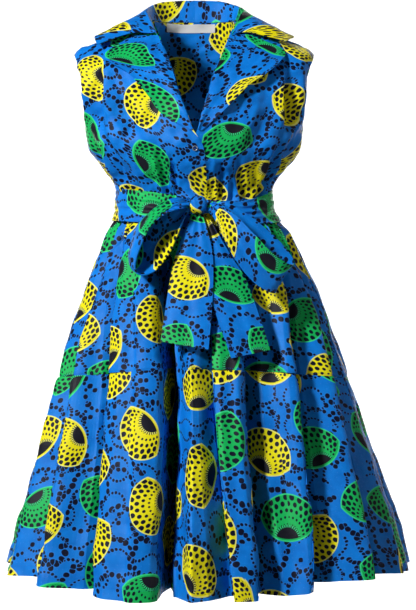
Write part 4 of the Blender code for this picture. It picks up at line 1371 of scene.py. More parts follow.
@dataclass
class Torso:
    """The bodice: two fronts that lap at the middle, and the back."""

    neck_half: float = 0.078
    neck_depth: float = 0.078
    neck_point: float = 0.008
    back_neck: float = 0.018
    neck_squareness: float = 2.6
    shoulder_half: float = 0.229
    shoulder_tip: float = -0.0475
    tip_drop: float = 0.010
    tip_from: float = 0.88
    chest: float = 0.70
    still_lap: float = 0.026
    still_fade: float = 0.014
    still_side: float = 0.007
    lap_lift: float = 0.0026
    lap_from: float = 0.012
    lap_to: float = 0.070
    gather_fade: float = 1.5
    shoulder_share: float = 1.0 / 3.0
    outward_pace: float = 6.0
    front_crumple: float = 0.0016
    back_crumple: float = 0.0014
    front_cells: tuple[int, int] = (110, 110)
    back_cells: tuple[int, int] = (210, 100)
    fronts: dict[Side, ClothGrid] = field(default_factory=dict)
    grids: dict[str, ClothGrid] = field(default_factory=dict)

    def shoulder(self, side: Side, share: np.ndarray) -> np.ndarray:
        """The shoulder seam from the neck point, at share 0, to the shoulder's tip."""
        x = mix(self.neck_half, self.shoulder_half, share)
        round_off = self.tip_drop * clamp((share - self.tip_from) / (1.0 - self.tip_from)) ** 2
        return stack(side.value * x, 0.0, mix(self.neck_point, self.shoulder_tip, share) - round_off)

    def gathers(self, table: Sequence[Gather], degrees: np.ndarray, up: np.ndarray) -> np.ndarray:
        """How far the waist's gathers press the bodice in.

        Args:
            table: The gathers.
            degrees: The angle round the body.
            up: The share of the bodice's height.

        Returns:
            The depth at each place.
        """
        total = np.zeros(np.broadcast(degrees, up).shape)
        for gather in table:
            fade = clamp(1.0 - up / gather.reach) ** self.gather_fade
            total += gather.depth * fade * valley((degrees - gather.angle) / gather.half_width)
        return total

    def dragged(
        self, table: Sequence[Crease], x: np.ndarray, height: np.ndarray, half: np.ndarray
    ) -> np.ndarray:
        """The drag lines' depth, which fades out in the lap and at the side seams.

        Args:
            table: The drag lines.
            x: The place across, as seen from the front.
            height: The height.
            half: The bodice's half width there.

        Returns:
            The depth at each place.
        """
        in_lap = smooth((np.abs(x) - self.still_lap) / self.still_fade)
        at_side = smooth((half - np.abs(x)) / self.still_side)
        return drawn_in(table, x, height) * in_lap * at_side

    def front(self, side: Side) -> Place:
        """The surface of one front.

        Args:
            side: Which front.

        Returns:
            The surface, from the middle edge to the side and from the waist to the shoulder.
        """

        def place(across: np.ndarray, up: np.ndarray) -> np.ndarray:
            """The front at a place."""
            level = clamp(up / self.chest)
            edge = even(BODICE_ROWS, "edge_right" if side is Side.RIGHT else "edge_left", level)
            half_width = even(BODICE_ROWS, "half_width", level)
            depth = even(BODICE_ROWS, "front_depth", level)
            armhole = even(BODICE_ROWS, "front_armhole", level)
            angle = mix(np.arcsin(edge / half_width), np.pi / 2, across)
            pressed = self.gathers(FRONT_GATHERS, np.degrees(angle), up)
            height = even(BODICE_ROWS, "height", level)
            seen_at = side.value * half_width * np.sin(angle)
            pressed += self.dragged(FRONT_CREASES[side], seen_at, height, half_width)
            forward = armhole + section_depth(depth - armhole, np.maximum(np.cos(angle), 0.0))
            x = (half_width - pressed) * np.sin(angle)
            y = pressed * np.cos(angle) - forward
            if side is Side.LEFT:
                y = y - self.lap_lift * (1.0 - smooth((x - self.lap_from) / (self.lap_to - self.lap_from)))
            share = clamp((up - self.chest) / (1.0 - self.chest))
            top = self.shoulder(side, across)
            back = mix(share, 1.0 - np.cos(np.pi * share / 2), across)
            rise = mix(share, np.sin(np.pi * share / 2), across)
            return stack(
                mix(side.value * x, top[..., 0], rise),
                mix(y, top[..., 1], back) - SEAM_GAP / 2,
                mix(height, top[..., 2], rise),
            )

        return place

    def back_top(self, across: np.ndarray) -> np.ndarray:
        """The back's top edge from tip to tip: shoulder seam, back neck, shoulder seam."""
        third = self.shoulder_share
        left = self.shoulder(Side.LEFT, 1.0 - across / third)
        right = self.shoulder(Side.RIGHT, (across - 1.0 + third) / third)
        turn = mix(-np.pi / 2, np.pi / 2, clamp((across - third) / third))
        x = np.copysign(np.abs(np.sin(turn)) ** (2 / self.neck_squareness), turn)
        y = np.maximum(np.cos(turn), 0.0) ** (2 / self.neck_squareness)
        neck = stack(self.neck_half * x, self.neck_depth * y, mix(self.neck_point, self.back_neck, y))
        at = across[..., None]
        return np.where(at < third, left, np.where(at > 1.0 - third, right, neck))

    def back(self, across: np.ndarray, up: np.ndarray) -> np.ndarray:
        """The back, from the viewer's left side to the right one and from the waist to the top edge."""
        level = clamp(up / self.chest)
        half_width = even(BODICE_ROWS, "half_width", level)
        depth = even(BODICE_ROWS, "back_depth", level)
        armhole = even(BODICE_ROWS, "back_armhole", level)
        angle = mix(-np.pi / 2, np.pi / 2, across)
        pressed = self.gathers(BACK_GATHERS, np.degrees(angle), up)
        height = even(BODICE_ROWS, "height", level)
        pressed += self.dragged(BACK_CREASES, half_width * np.sin(angle), height, half_width)
        backward = armhole + section_depth(depth - armhole, np.maximum(np.cos(angle), 0.0))
        x = (half_width - pressed) * np.sin(angle)
        y = backward - pressed * np.cos(angle)
        share = clamp((up - self.chest) / (1.0 - self.chest))
        top = self.back_top(across)
        outward = clamp(np.abs(across - 0.5) * self.outward_pace - 1.0)
        forward = mix(share, 1.0 - np.cos(np.pi * share / 2), outward)
        rise = mix(share, np.sin(np.pi * share / 2), outward)
        return stack(
            mix(x, top[..., 0], rise),
            mix(y, top[..., 1], forward) + SEAM_GAP / 2,
            mix(height, top[..., 2], rise),
        )

    def build(self, cotton: bpy.types.Material) -> None:
        """Makes the bodice's pieces.

        Args:
            cotton: The printed cotton.
        """
        for side in Side:
            name = f"bodice_front_{side.name.lower()}"
            left = side is Side.LEFT
            place, cut = self.front(side), CUTS["bodice_front"]
            grid = ClothGrid(name, self.front_cells, place, cut, turned=left, crumple=self.front_crumple)
            grid.build(cotton)
            self.fronts[side] = self.grids[name] = grid
        name = "bodice_back"
        cut, crumple = CUTS[name], self.back_crumple
        grid = ClothGrid(name, self.back_cells, self.back, cut, turned=True, crumple=crumple)
        grid.build(cotton)
        self.grids[name] = grid


@dataclass
class Collar:
    """The collar with its stand and fall, and the two lapels."""

    torso: Torso
    fold_radius: float = 0.0030
    lapel_clearance: float = 0.0026
    lapel_roll: float = 0.0030
    roll_middle: float = 0.12
    roll_width: float = 0.30
    open_from: float = 1.1
    open_power: float = 1.4
    behind_lapel: float = -0.12
    lapel_top_lift: float = 0.0036
    lapel_search: float = 0.0030
    end_lift: float = 0.0095
    end_from: float = 0.72
    end_power: float = 1.5
    stand_share: float = 0.55
    over_rise: float = 0.6
    over_reach: float = 2.4
    line_at: tuple[float, ...] = (0.0, 0.14, 0.26, 0.36, 0.46, 0.74, 1.0)
    lapel_crumple: float = 0.0003
    collar_cells: tuple[int, int] = (210, 50)
    lapel_cells: tuple[int, int] = (50, 90)
    grids: dict[str, ClothGrid] = field(default_factory=dict)

    def surface(self, across: np.ndarray, up: np.ndarray) -> np.ndarray:
        """The collar from the viewer's left end round the back: its stand, the fold, then its fall."""
        along = np.abs(across[0] - 0.5) * 2.0
        left = across[0] < 0.5
        lines = {}
        for name in ("seam", "fold", "middle", "edge"):
            halves = []
            for side in Side:
                rows = COLLAR_ROWS + (COLLAR_ENDS[side],)
                halves.append(column(rows, "along", name, along))
            lines[name] = np.where(left[:, None], halves[0], halves[1])
        seam, fold, middle, edge = lines["seam"], lines["fold"], lines["middle"], lines["edge"]
        outward = middle - seam
        outward = outward / np.linalg.norm(outward, axis=-1, keepdims=True) * self.fold_radius
        lift = np.array((0.0, 0.0, self.fold_radius))
        stand = mix(seam, fold, self.stand_share)
        over, down = fold + outward + lift * self.over_rise, fold + outward * self.over_reach
        line = np.array((seam, stand, fold, over, down, middle, edge))
        points = np.einsum("rk,kcx->rcx", shares(self.line_at, up[:, 0]), line)
        points[..., 0] *= np.where(left, -1.0, 1.0)
        raised = smooth((along - self.end_from) / (1.0 - self.end_from))
        raised = raised * clamp(up * 2.0 - 1.0) ** self.end_power
        points[..., 1] -= self.end_lift * raised
        return points

    def lapel(self, side: Side) -> Place:
        """The surface of a lapel, which lies on its front and rolls over at the roll line.

        Args:
            side: Which lapel.

        Returns:
            The surface, from the roll line to the outer edge and from the foot up.
        """
        rows = LAPEL_ROWS[side]
        grid = self.torso.fronts[side]
        tree = surface_tree(grid.points)

        def place(across: np.ndarray, up: np.ndarray) -> np.ndarray:
            """The lapel at a place."""
            names = ("roll_x", "roll_z", "outer_x", "outer_z")
            roll_x, roll_z, outer_x, outer_z = (column(rows, "along", name, up) for name in names)
            x, z = mix(roll_x, outer_x, across), mix(roll_z, outer_z, across)
            inner = self.lapel_search * (1.0 - across)
            depth = np.empty(x.shape)
            for index in np.ndindex(x.shape):
                at = Vector((side.value * (x[index] + inner[0, index[1]]), IN_FRONT, z[index]))
                hit = tree.ray_cast(at, AHEAD)[0]
                if hit is None:
                    hit = tree.find_nearest(Vector((at.x, self.behind_lapel, at.z)))[0]
                depth[index] = hit.y
            rolled = valley((across - self.roll_middle) / self.roll_width)
            lift = self.lapel_clearance + self.lapel_roll * (1.0 - up**3) * rolled
            opened = np.sin(np.pi * clamp(up * self.open_from) ** self.open_power)
            open_edge = LAPEL_EDGE_LIFT[side] * across**3 * opened
            lift = lift + np.maximum(open_edge, self.lapel_top_lift * across**2 * up)
            return stack(side.value * x, depth - lift, z)

        return place

    def build(self, cotton: bpy.types.Material) -> None:
        """Makes the collar and the lapels.

        Args:
            cotton: The printed cotton.
        """
        grid = ClothGrid("collar", self.collar_cells, self.surface, CUTS["collar"])
        grid.build(cotton)
        self.grids["collar"] = grid
        for side in Side:
            name = f"lapel_{side.name.lower()}"
            left = side is Side.LEFT
            place, cut = self.lapel(side), CUTS["lapel"]
            grid = ClothGrid(name, self.lapel_cells, place, cut, turned=left, crumple=self.lapel_crumple)
            grid.build(cotton)
            self.grids[name] = grid


def surface_tree(points: np.ndarray) -> BVHTree:
    """A search tree over a grid of points.

    Args:
        points: The grid, rows by columns.

    Returns:
        The tree.
    """
    made = bmesh.new()
    rows, columns = points.shape[:2]
    bmesh.ops.create_grid(made, x_segments=columns - 1, y_segments=rows - 1, size=0.5)
    for vertex in made.verts:
        row = round((vertex.co.y + 0.5) * (rows - 1))
        vertex.co = points[row, round((vertex.co.x + 0.5) * (columns - 1))]
    made.normal_update()
    tree = BVHTree.FromBMesh(made)
    made.free()
    return tree


@dataclass
class Skirt:
    """The pleated skirt in two tiers, front and back."""

    crowding: float = 0.75
    ridge_cells: int = 14
    valley_cells: int = 16
    upper_rows: int = 58
    lower_rows: int = 62
    steepness: float = 0.60
    roll_share: float = 0.40
    roll_width: float = 3.2
    roll_offset: float = 0.9
    nearest: float = 0.42
    pinch: float = 0.0016
    pinch_reach: float = 0.0035
    swell: float = 0.24
    swell_power: float = 0.75
    deep: float = 0.03
    rounded_by: float = 0.12
    crumple: float = 0.0016
    crumple_length: float = 0.085
    grids: dict[str, ClothGrid] = field(default_factory=dict)

    def form(self, degrees: np.ndarray, height: np.ndarray) -> np.ndarray:
        """The skirt's outer form with no pleats."""
        turn = np.radians(degrees)
        sideways, forward = np.sin(turn), np.cos(turn)
        names = ("right", "left", "front", "back")
        right, left, front, back = (column(SKIRT_ROWS, "height", name, height) for name in names)
        width = np.where(sideways > 0, right, left)
        depth = np.where(forward > 0, front, back)
        return stack(width * sideways, -section_depth(depth, forward), height)

    def folds(self, height: np.ndarray) -> list[tuple[Fold, np.ndarray, np.ndarray, np.ndarray]]:
        """Each pleat with its angle, depth and half width at a height."""
        weights = shares((HEM, TIER_SEAM, WAIST), height)
        return [
            (
                fold,
                weights @ np.array((fold.hem, fold.seam, fold.waist)),
                weights @ np.array((fold.hem_depth, fold.seam_depth, fold.waist_depth)),
                weights @ np.array((fold.hem_width, fold.seam_width, fold.waist_width)),
            )
            for fold in SKIRT_FOLDS
        ]

    def surface(self, degrees: np.ndarray, height: np.ndarray) -> np.ndarray:
        """The pleated skirt: each valley presses the form in and leans to one side."""
        pressed, shift = np.zeros(height.shape), np.zeros(height.shape)
        for fold, angle, depth, width in self.folds(height):
            away = (degrees - angle + 180.0) % 360.0 - 180.0
            dip = valley(away / width) ** self.steepness
            rolled = valley((away + self.roll_offset * fold.lean * width) / (width * self.roll_width))
            pressed += depth * mix(dip, rolled, self.roll_share)
            shift += fold.lean * width * dip
        form = self.form(degrees + shift, height)
        pressed += self.rounding(degrees, height) * np.linalg.norm(form[..., :2], axis=-1)
        pressed += self.pinch * np.exp(-(((height - self.seam(degrees)) / self.pinch_reach) ** 2))
        inward = form * np.array((1.0, 1.0, 0.0))
        inward /= np.linalg.norm(inward, axis=-1, keepdims=True)
        return form - inward * pressed[..., None]

    def rounding(self, degrees: np.ndarray, height: np.ndarray) -> np.ndarray:
        """How far a ridge falls back from its middle towards the deep pleats beside it.

        Args:
            degrees: The angle round the body.
            height: The height.

        Returns:
            The fall, as a share of the skirt's radius.
        """
        deep = [angle for fold, angle, _, _ in self.folds(height) if fold.hem_depth > self.deep]
        fall = np.zeros(np.broadcast(degrees, height).shape)
        for before, after in zip(deep, deep[1:] + deep[:1]):
            span = (after - before) % 360.0
            phase = ((degrees - before) % 360.0) / span
            arch = np.sin(np.pi * clamp(phase)) ** self.swell_power
            fall += np.where(phase < 1.0, self.swell * np.radians(span) * (1.0 - arch), 0.0)
        return fall * smooth((WAIST - height) / self.rounded_by)

    def seam(self, degrees: np.ndarray) -> np.ndarray:
        """The height of the tiers' seam."""
        return TIER_SEAM + TIER_SEAM_FRONT_RISE * np.maximum(np.cos(np.radians(degrees)), 0.0) ** 2

    def hem(self, degrees: np.ndarray) -> np.ndarray:
        """The height of the hem."""
        return HEM + column(HEM_RISE, "angle", "rise", (degrees + 90.0) % 360.0 - 90.0)

    def columns(self, first: float, height: np.ndarray) -> np.ndarray:
        """Each column's angle in a half turn: columns follow the pleats and crowd in their valleys.

        Args:
            first: The panel's first angle.
            height: The height of each row.

        Returns:
            The angles, row by row.
        """
        folds = [
            ((angle - first) % 360.0, width)
            for _, angle, _, width in self.folds(height)
            if float(np.mean((angle - first) % 360.0)) < 180.0
        ]
        folds.sort(key=lambda item: float(np.mean(item[0])))
        middles = [np.zeros_like(height)] + [angle for angle, _ in folds] + [np.full_like(height, 180.0)]
        places, knots, at = [np.zeros_like(height)], [0], 0
        for before, (angle, width), after in zip(middles, folds, middles[2:]):
            at += self.ridge_cells
            half = self.valley_cells // 2
            places.append(angle - np.minimum(width, self.nearest * (angle - before)))
            places.append(angle)
            places.append(angle + np.minimum(width, self.nearest * (after - angle)))
            knots += [at, at + half, at + 2 * half]
            at += 2 * half
        places.append(middles[-1])
        knots.append(at + self.ridge_cells)
        table = np.stack(places, axis=1)
        numbers = np.arange(knots[-1] + 1)
        return first + np.stack([np.interp(numbers, knots, row) for row in table])

    def drop(self, up: np.ndarray | float) -> np.ndarray:
        """The share of a tier's length that hangs above a row, with rows crowded at both ends."""
        return mix(1.0 - up, smooth(1.0 - up), self.crowding)

    def tier(self, first: float, top: Callable, bottom: Callable) -> Place:
        """The surface of a tier's panel.

        Args:
            first: Its first angle, of the half turn that it covers.
            top: Its top line's height at an angle.
            bottom: Its bottom line's height at an angle.

        Returns:
            The surface.
        """
        middle = np.array(first + 90.0)

        def place(_: np.ndarray, up: np.ndarray) -> np.ndarray:
            """The tier at a place."""
            down = self.drop(up)
            degrees = self.columns(first, mix(top(middle), bottom(middle), down)[:, 0])
            return self.surface(degrees, mix(top(degrees), bottom(degrees), down))

        return place

    def build(self, cotton: bpy.types.Material) -> None:
        """Makes the skirt's four panels.

        Args:
            cotton: The printed cotton.
        """

        def waist(degrees: np.ndarray) -> np.ndarray:
            """The height of the waist seam."""
            return WAIST - SEAM_GAP + 0.0 * degrees

        pair = self.ridge_cells + self.valley_cells
        for end, first in (("front", -90.0), ("back", 90.0)):
            count = self.columns(first, np.array([WAIST])).shape[1] - 1
            ridges = np.arange(self.ridge_cells // 2, count, pair)
            for tier, top, bottom, rows in (
                ("upper", waist, self.seam, self.upper_rows),
                ("lower", self.seam, self.hem, self.lower_rows),
            ):
                grid = ClothGrid(
                    f"skirt_{tier}_{end}",
                    (count, rows),
                    self.tier(first, top, bottom),
                    CUTS[f"skirt_{tier}"],
                    panels=np.tile(ridges, (rows + 1, 1)),
                    crumple=self.crumple,
                    crumple_length=self.crumple_length,
                )
                grid.build(cotton)
                self.grids[grid.name] = grid


@dataclass
class Sash:
    """The scrunched belt, its knot, the bow's two loops and the two hanging ends."""

    torso: Torso
    skirt: Skirt
    clearance: float = 0.0056
    tuck: float = 0.20
    crease: float = 0.0042
    creases: int = 4
    cloth: float = 0.0018
    crown: float = 0.0040
    ripple: float = 0.0016
    fine_crease: float = 0.0004
    fine_creases: float = 9.0
    fine_wander: float = 1.3
    side_wander: float = 0.5
    loop_creases: float = 5.0
    loop_wander: float = 0.6
    loop_crease: float = 0.0004
    loop_drawn: float = 0.0012
    loop_reach: float = 0.32
    tail_creases: float = 6.0
    tail_crease: float = 0.0009
    tail_reach: float = 0.4
    ripple_from: float = 3.0
    belt_cells: tuple[int, int] = (240, 40)
    loop_cells: tuple[int, int] = (150, 32)
    tail_cells: tuple[int, int] = (50, 110)
    belt_crumple: float = 0.0005
    loop_crumple: float = 0.0005
    groove: float = 0.06
    fine_groove: float = 0.02
    knot_centre: tuple[float, float, float] = (0.0080, -0.1323, -0.3505)
    knot_radii: tuple[float, float, float] = (0.0165, 0.0172, 0.0172)
    knot_squareness: float = 0.72
    knot_cells: tuple[int, int] = (72, 48)
    grids: dict[str, ClothGrid] = field(default_factory=dict)

    def belt(self, first: float) -> Place:
        """The surface of half of the belt.

        Args:
            first: Its first angle, of the half turn that it covers.

        Returns:
            The surface.
        """
        levels = np.linspace(0.0, 1.0, LEVELS)
        heights = even(BODICE_ROWS, "height", levels)

        def place(across: np.ndarray, up: np.ndarray) -> np.ndarray:
            """The belt at a place."""
            degrees = mix(first, first + 180.0, across)
            around = (degrees + 180.0) % 360.0 - 180.0
            bottom, top = (column(BELT_EDGES, "angle", name, around) for name in ("bottom", "top"))
            height = mix(bottom, top, up)
            turn = np.radians(degrees)
            below = self.skirt.form(degrees + 0.0 * height, height)
            level = np.interp(height, heights, levels)
            width = even(BODICE_ROWS, "half_width", level)
            depth = even(BODICE_ROWS, "back_depth" if first > 0.0 else "front_depth", level)
            above = stack(width * np.sin(turn), -section_depth(depth, np.cos(turn)), height)
            form = np.where((height < WAIST)[..., None], below, above)
            waves = np.sin(np.pi * (self.creases * up + self.side_wander * np.sin(2.0 * turn)))
            wander = self.fine_wander * np.sin(3.0 * turn + 1.0)
            fine = np.sin(np.pi * (self.fine_creases * up + wander)) * self.fine_crease
            waves = waves * (0.5 + 0.5 * np.abs(np.cos(turn)))
            outward = stack(np.sin(turn), -np.cos(turn), 0.0)
            tucked = mix(self.tuck, 1.0, np.sin(np.pi * clamp(up)))
            proud = self.clearance * tucked + self.crease * waves**2 * tucked + fine
            return form + outward * proud[..., None]

        return place

    def loop(self, side: Side) -> Place:
        """The surface of a loop, with creases that run out from the knot.

        Args:
            side: Which loop.

        Returns:
            The surface.
        """
        rows = LOOP_ROWS[side]
        step = 0.01

        def place(along: np.ndarray, across: np.ndarray) -> np.ndarray:
            """The loop at a place."""
            near, far = even(rows, "near", along), even(rows, "far", along)
            ahead = even(rows, "near", clamp(along + step)) - even(rows, "near", clamp(along - step))
            out = np.cross(far - near, ahead)
            out /= np.linalg.norm(out, axis=-1, keepdims=True)
            drawn = 1.0 - smooth(np.minimum(along, 1.0 - along) / self.loop_reach)
            wander = self.loop_wander * np.sin(self.loop_creases * along)
            creases = np.sin(np.pi * (self.loop_creases * across + wander))
            creases = creases * (self.loop_crease + self.loop_drawn * drawn)
            bulge = self.crown * np.sin(np.pi * across) + creases
            return mix(near, far, across[..., None]) + out * bulge[..., None]

        return place

    def tail(self, side: Side) -> Place:
        """The surface of a hanging end.

        Args:
            side: Which end.

        Returns:
            The surface.
        """
        rows = TAIL_ROWS[side]

        def place(across: np.ndarray, up: np.ndarray) -> np.ndarray:
            """The end at a place."""
            down = 1.0 - up
            height = even(rows, "height", down) - even(rows, "slant", down) * across
            x = mix(even(rows, "left", down), even(rows, "right", down), across)
            names = ("right", "left", "front")
            right, left, depth = (column(SKIRT_ROWS, "height", name, height) for name in names)
            width = np.where(x > 0, right, left)
            form = section_depth(depth, np.sqrt(1.0 - clamp(x / width, -1.0, 1.0) ** 2))
            ripple = self.ripple * (1.0 - np.cos(4.0 * np.pi * across)) / 2 * clamp(down * self.ripple_from)
            drawn = 1.0 - smooth(down / self.tail_reach)
            creases = self.tail_crease * drawn * np.sin(np.pi * self.tail_creases * across)
            return stack(x, -form - even(rows, "off", down) - ripple - creases, height)

        return place

    def knot(self, cotton: bpy.types.Material) -> bpy.types.Object:
        """Makes the knot: a ball drawn in by grooves that wind round it.

        Args:
            cotton: The printed cotton.

        Returns:
            The finished object.
        """
        made = bmesh.new()
        u_cells, v_cells = self.knot_cells
        bmesh.ops.create_uvsphere(made, u_segments=u_cells, v_segments=v_cells, radius=1.0)
        layer = made.loops.layers.uv.new(UV_MAP)
        shift_u, shift_v = PRINT_AT["knot"]
        for face in made.faces:
            middle = face.calc_center_median()
            around = math.atan2(middle.x, -middle.y)
            for loop in face.loops:
                turn = math.atan2(loop.vert.co.x, -loop.vert.co.y)
                turn += round((around - turn) / FULL_TURN) * FULL_TURN
                u, v = turn * self.knot_radii[0], loop.vert.co.z * self.knot_radii[2]
                loop[layer].uv = (shift_u + u, shift_v + v)
        for vertex in made.verts:
            turn = math.atan2(vertex.co.x, -vertex.co.y)
            wind = math.sin(5.0 * turn + 3.0 * vertex.co.z)
            fine = math.sin(11.0 * turn + 7.0 * vertex.co.z + 1.0)
            groove = 1.0 - self.groove * (1.0 + wind) / 2 - self.fine_groove * (1.0 + fine) / 2
            power = self.knot_squareness
            squared = [math.copysign(abs(value) ** power, value) * groove for value in vertex.co]
            vertex.co = Vector(c + r * v for c, r, v in zip(self.knot_centre, self.knot_radii, squared))
        for face in made.faces:
            face.smooth = True
        obj = add_piece("knot", made, cotton)
        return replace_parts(obj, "knot")

    def build(self, cotton: bpy.types.Material) -> None:
        """Makes the sash's pieces.

        Args:
            cotton: The printed cotton.
        """
        for name, first in (("belt_front", -90.0), ("belt_back", 90.0)):
            place, cut, crumple = self.belt(first), CUTS["belt"], self.belt_crumple
            self.grids[name] = ClothGrid(name, self.belt_cells, place, cut, self.cloth, crumple=crumple)
        for side in Side:
            left = side is Side.LEFT
            loop, tail = (f"{piece}_{side.name.lower()}" for piece in ("bow_loop", "tail"))
            place, cut, crumple = self.loop(side), CUTS["bow_loop"], self.loop_crumple
            self.grids[loop] = ClothGrid(
                loop, self.loop_cells, place, cut, self.cloth, turned=left, crumple=crumple
            )
            self.grids[tail] = ClothGrid(tail, self.tail_cells, self.tail(side), CUTS["tail"], self.cloth)
        for grid in self.grids.values():
            grid.build(cotton)
        self.knot(cotton)


@dataclass
class Trim:
    """The button, the neck label, and the rows of stitches."""

    torso: Torso
    grids: dict[str, ClothGrid]
    button_x: float = 0.0022
    button_z: float = -0.2478
    button_radius: float = 0.0052
    button_height: float = 0.0027
    rim: float = 0.0013
    dish: float = 0.0008
    # Where the button's painted highlight lies: the pale ring's edges, in rim widths in from the button's
    # edge
    glint_ring: tuple[float, float] = (1.3, 0.2)
    thread: float = 0.00042
    thread_reach: float = 0.00187
    thread_slant: float = 45.0
    thread_drop: float = 0.8
    steps: int = 40
    stitch: float = 0.0024
    pitch: float = 0.0037
    row_steps: int = 1200
    hem_row: float = 0.95
    sunk: float = 0.5
    stitch_radius: float = 0.00030
    label_margin: float = 0.002
    label_bow: float = 0.0006
    label_wave: float = 0.00012
    label_waves: float = 37.0
    label_thickness: float = 0.0007
    label_rise: float = 0.0035
    label_cells: tuple[int, int] = (60, 12)

    def button(self, cotton_thread: bpy.types.Material) -> None:
        """Makes the button, turned from its profile, and the crossed threads that hold it.

        Args:
            cotton_thread: The thread's material.
        """
        made = bmesh.new()
        high, wide = self.button_height, self.button_radius
        profile = [
            (p.wide * wide - p.rim * self.rim, p.high * high - p.dish * self.dish) for p in BUTTON_PROFILE
        ]
        corners = [made.verts.new((radius, 0.0, height)) for radius, height in profile]
        line = corners + [made.edges.new(pair) for pair in zip(corners, corners[1:])]
        axis = (0.0, 0.0, 1.0)
        spin = {"cent": (0.0,) * 3, "axis": axis, "angle": FULL_TURN, "steps": self.steps}
        bmesh.ops.spin(made, geom=line, use_merge=True, **spin)
        bmesh.ops.remove_doubles(made, verts=made.verts, dist=MERGE)
        bmesh.ops.recalc_face_normals(made, faces=made.faces)
        for face in made.faces:
            face.smooth = True
        tree = surface_tree(self.torso.fronts[Side.LEFT].points)
        hit, normal, _, _ = tree.ray_cast(Vector((self.button_x, IN_FRONT, self.button_z)), AHEAD)
        normal = -normal if normal.y > 0.0 else normal
        facing = Vector(axis).rotation_difference(normal).to_matrix().to_4x4()
        turn = Matrix.Translation(hit + normal * SEAM_GAP) @ facing
        bmesh.ops.transform(made, matrix=turn, verts=made.verts)
        top = turn @ Vector((0.0, 0.0, high))
        # The edges of the pale ring painted on the button as a highlight
        inner, outer = (wide - self.rim * share for share in self.glint_ring)
        plastic = ButtonPlastic(tuple(top), inner, outer).material()
        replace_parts(add_piece("button", made, plastic), "button")
        knots = bmesh.new()
        for sign in (-1.0, 1.0):
            slant = Matrix.Rotation(math.radians(self.thread_slant * sign), 4, "Z")
            lift = Matrix.Translation((0.0, 0.0, high - self.dish * self.thread_drop))
            shape = Matrix.Diagonal((self.thread_reach, self.thread, self.thread, 1.0))
            bmesh.ops.create_icosphere(knots, subdivisions=2, radius=1.0, matrix=turn @ lift @ slant @ shape)
        add_piece("button_thread", knots, cotton_thread)

    def label(self, tape: bpy.types.Material) -> None:
        """Makes the bare woven label, which bows a little between its sewn ends.

        Args:
            tape: The label's material.
        """
        low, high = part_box("neck_label")
        cells = self.label_cells
        tree = surface_tree(self.torso.grids["bodice_back"].points)
        made = bmesh.new()
        bmesh.ops.create_grid(made, x_segments=cells[0], y_segments=cells[1], size=0.5)
        for vertex in made.verts:
            x = mix(low[0], high[0], vertex.co.x + 0.5)
            z = mix(low[2], high[2], vertex.co.y + 0.5) + self.label_rise
            hit = tree.ray_cast(Vector((x, 0.0, z)), AHEAD)[0]
            bowed = self.label_bow * math.cos(math.pi * vertex.co.x) ** 2
            wave = self.label_wave * math.sin(vertex.co.y * self.label_waves)
            vertex.co = (x, hit.y - self.label_margin - bowed - wave, z)
        walls = bmesh.ops.extrude_face_region(made, geom=made.faces[:], use_keep_orig=True)
        behind = [item for item in walls["geom"] if isinstance(item, bmesh.types.BMVert)]
        bmesh.ops.translate(made, vec=(0.0, self.label_thickness, 0.0), verts=behind)
        bmesh.ops.recalc_face_normals(made, faces=made.faces)
        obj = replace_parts(add_piece("neck_label", made, tape), "neck_label")

    def row(self, made: bmesh.types.BMesh, grid: ClothGrid, across: tuple, up: tuple) -> None:
        """Adds a row of stitches on a piece of cloth.

        Args:
            made: The stitches' mesh.
            grid: The cloth.
            across: The row's two ends, as shares along the rows.
            up: The row's two ends, as shares along the columns.
        """
        share = np.linspace(0.0, 1.0, self.row_steps)
        points, normals = grid.at(mix(across[0], across[1], share), mix(up[0], up[1], share))
        run = np.concatenate(([0.0], np.cumsum(np.linalg.norm(np.diff(points, axis=0), axis=-1))))
        for start in np.arange(self.pitch / 2, run[-1] - self.pitch / 2, self.pitch):
            ends = [
                Vector([float(np.interp(start + step, run, points[:, i])) for i in range(3)])
                for step in (0.0, self.stitch)
            ]
            index = int(np.searchsorted(run, start))
            out = Vector(normals[index].tolist())
            along = (ends[1] - ends[0]).normalized()
            side = out.cross(along).normalized()
            half = (ends[1] - ends[0]).length / 2
            turn = Matrix((along * half, side * self.stitch_radius, out * self.stitch_radius)).transposed()
            centre = (ends[0] + ends[1]) / 2 + out * self.stitch_radius * self.sunk
            laid = Matrix.Translation(centre) @ turn.to_4x4()
            bmesh.ops.create_icosphere(made, subdivisions=1, radius=1.0, matrix=laid)

    def stitches(self, skirt: Skirt, thread: bpy.types.Material) -> None:
        """Makes the rows of stitches.

        Args:
            skirt: The skirt, for its rows' places.
            thread: The thread's material.
        """
        shares_up = np.linspace(1.0, 0.0, 400)
        above_hem = float(np.interp(self.hem_row, skirt.drop(shares_up), shares_up))
        hems = tuple((f"skirt_lower_{end}", (0.0, 1.0), (above_hem,) * 2) for end in ("front", "back"))
        rows = {"hem": hems} | STITCH_ROWS
        for name, lines in rows.items():
            made = bmesh.new()
            for piece, across, up in lines:
                self.row(made, self.grids[piece], across, up)
            add_piece(f"{name}_stitches", made, thread)

    def build(self, skirt: Skirt) -> None:
        """Makes the trim."""
        thread = THREAD.material()
        self.button(thread)
        self.label(TAPE.material())
        self.stitches(skirt, thread)


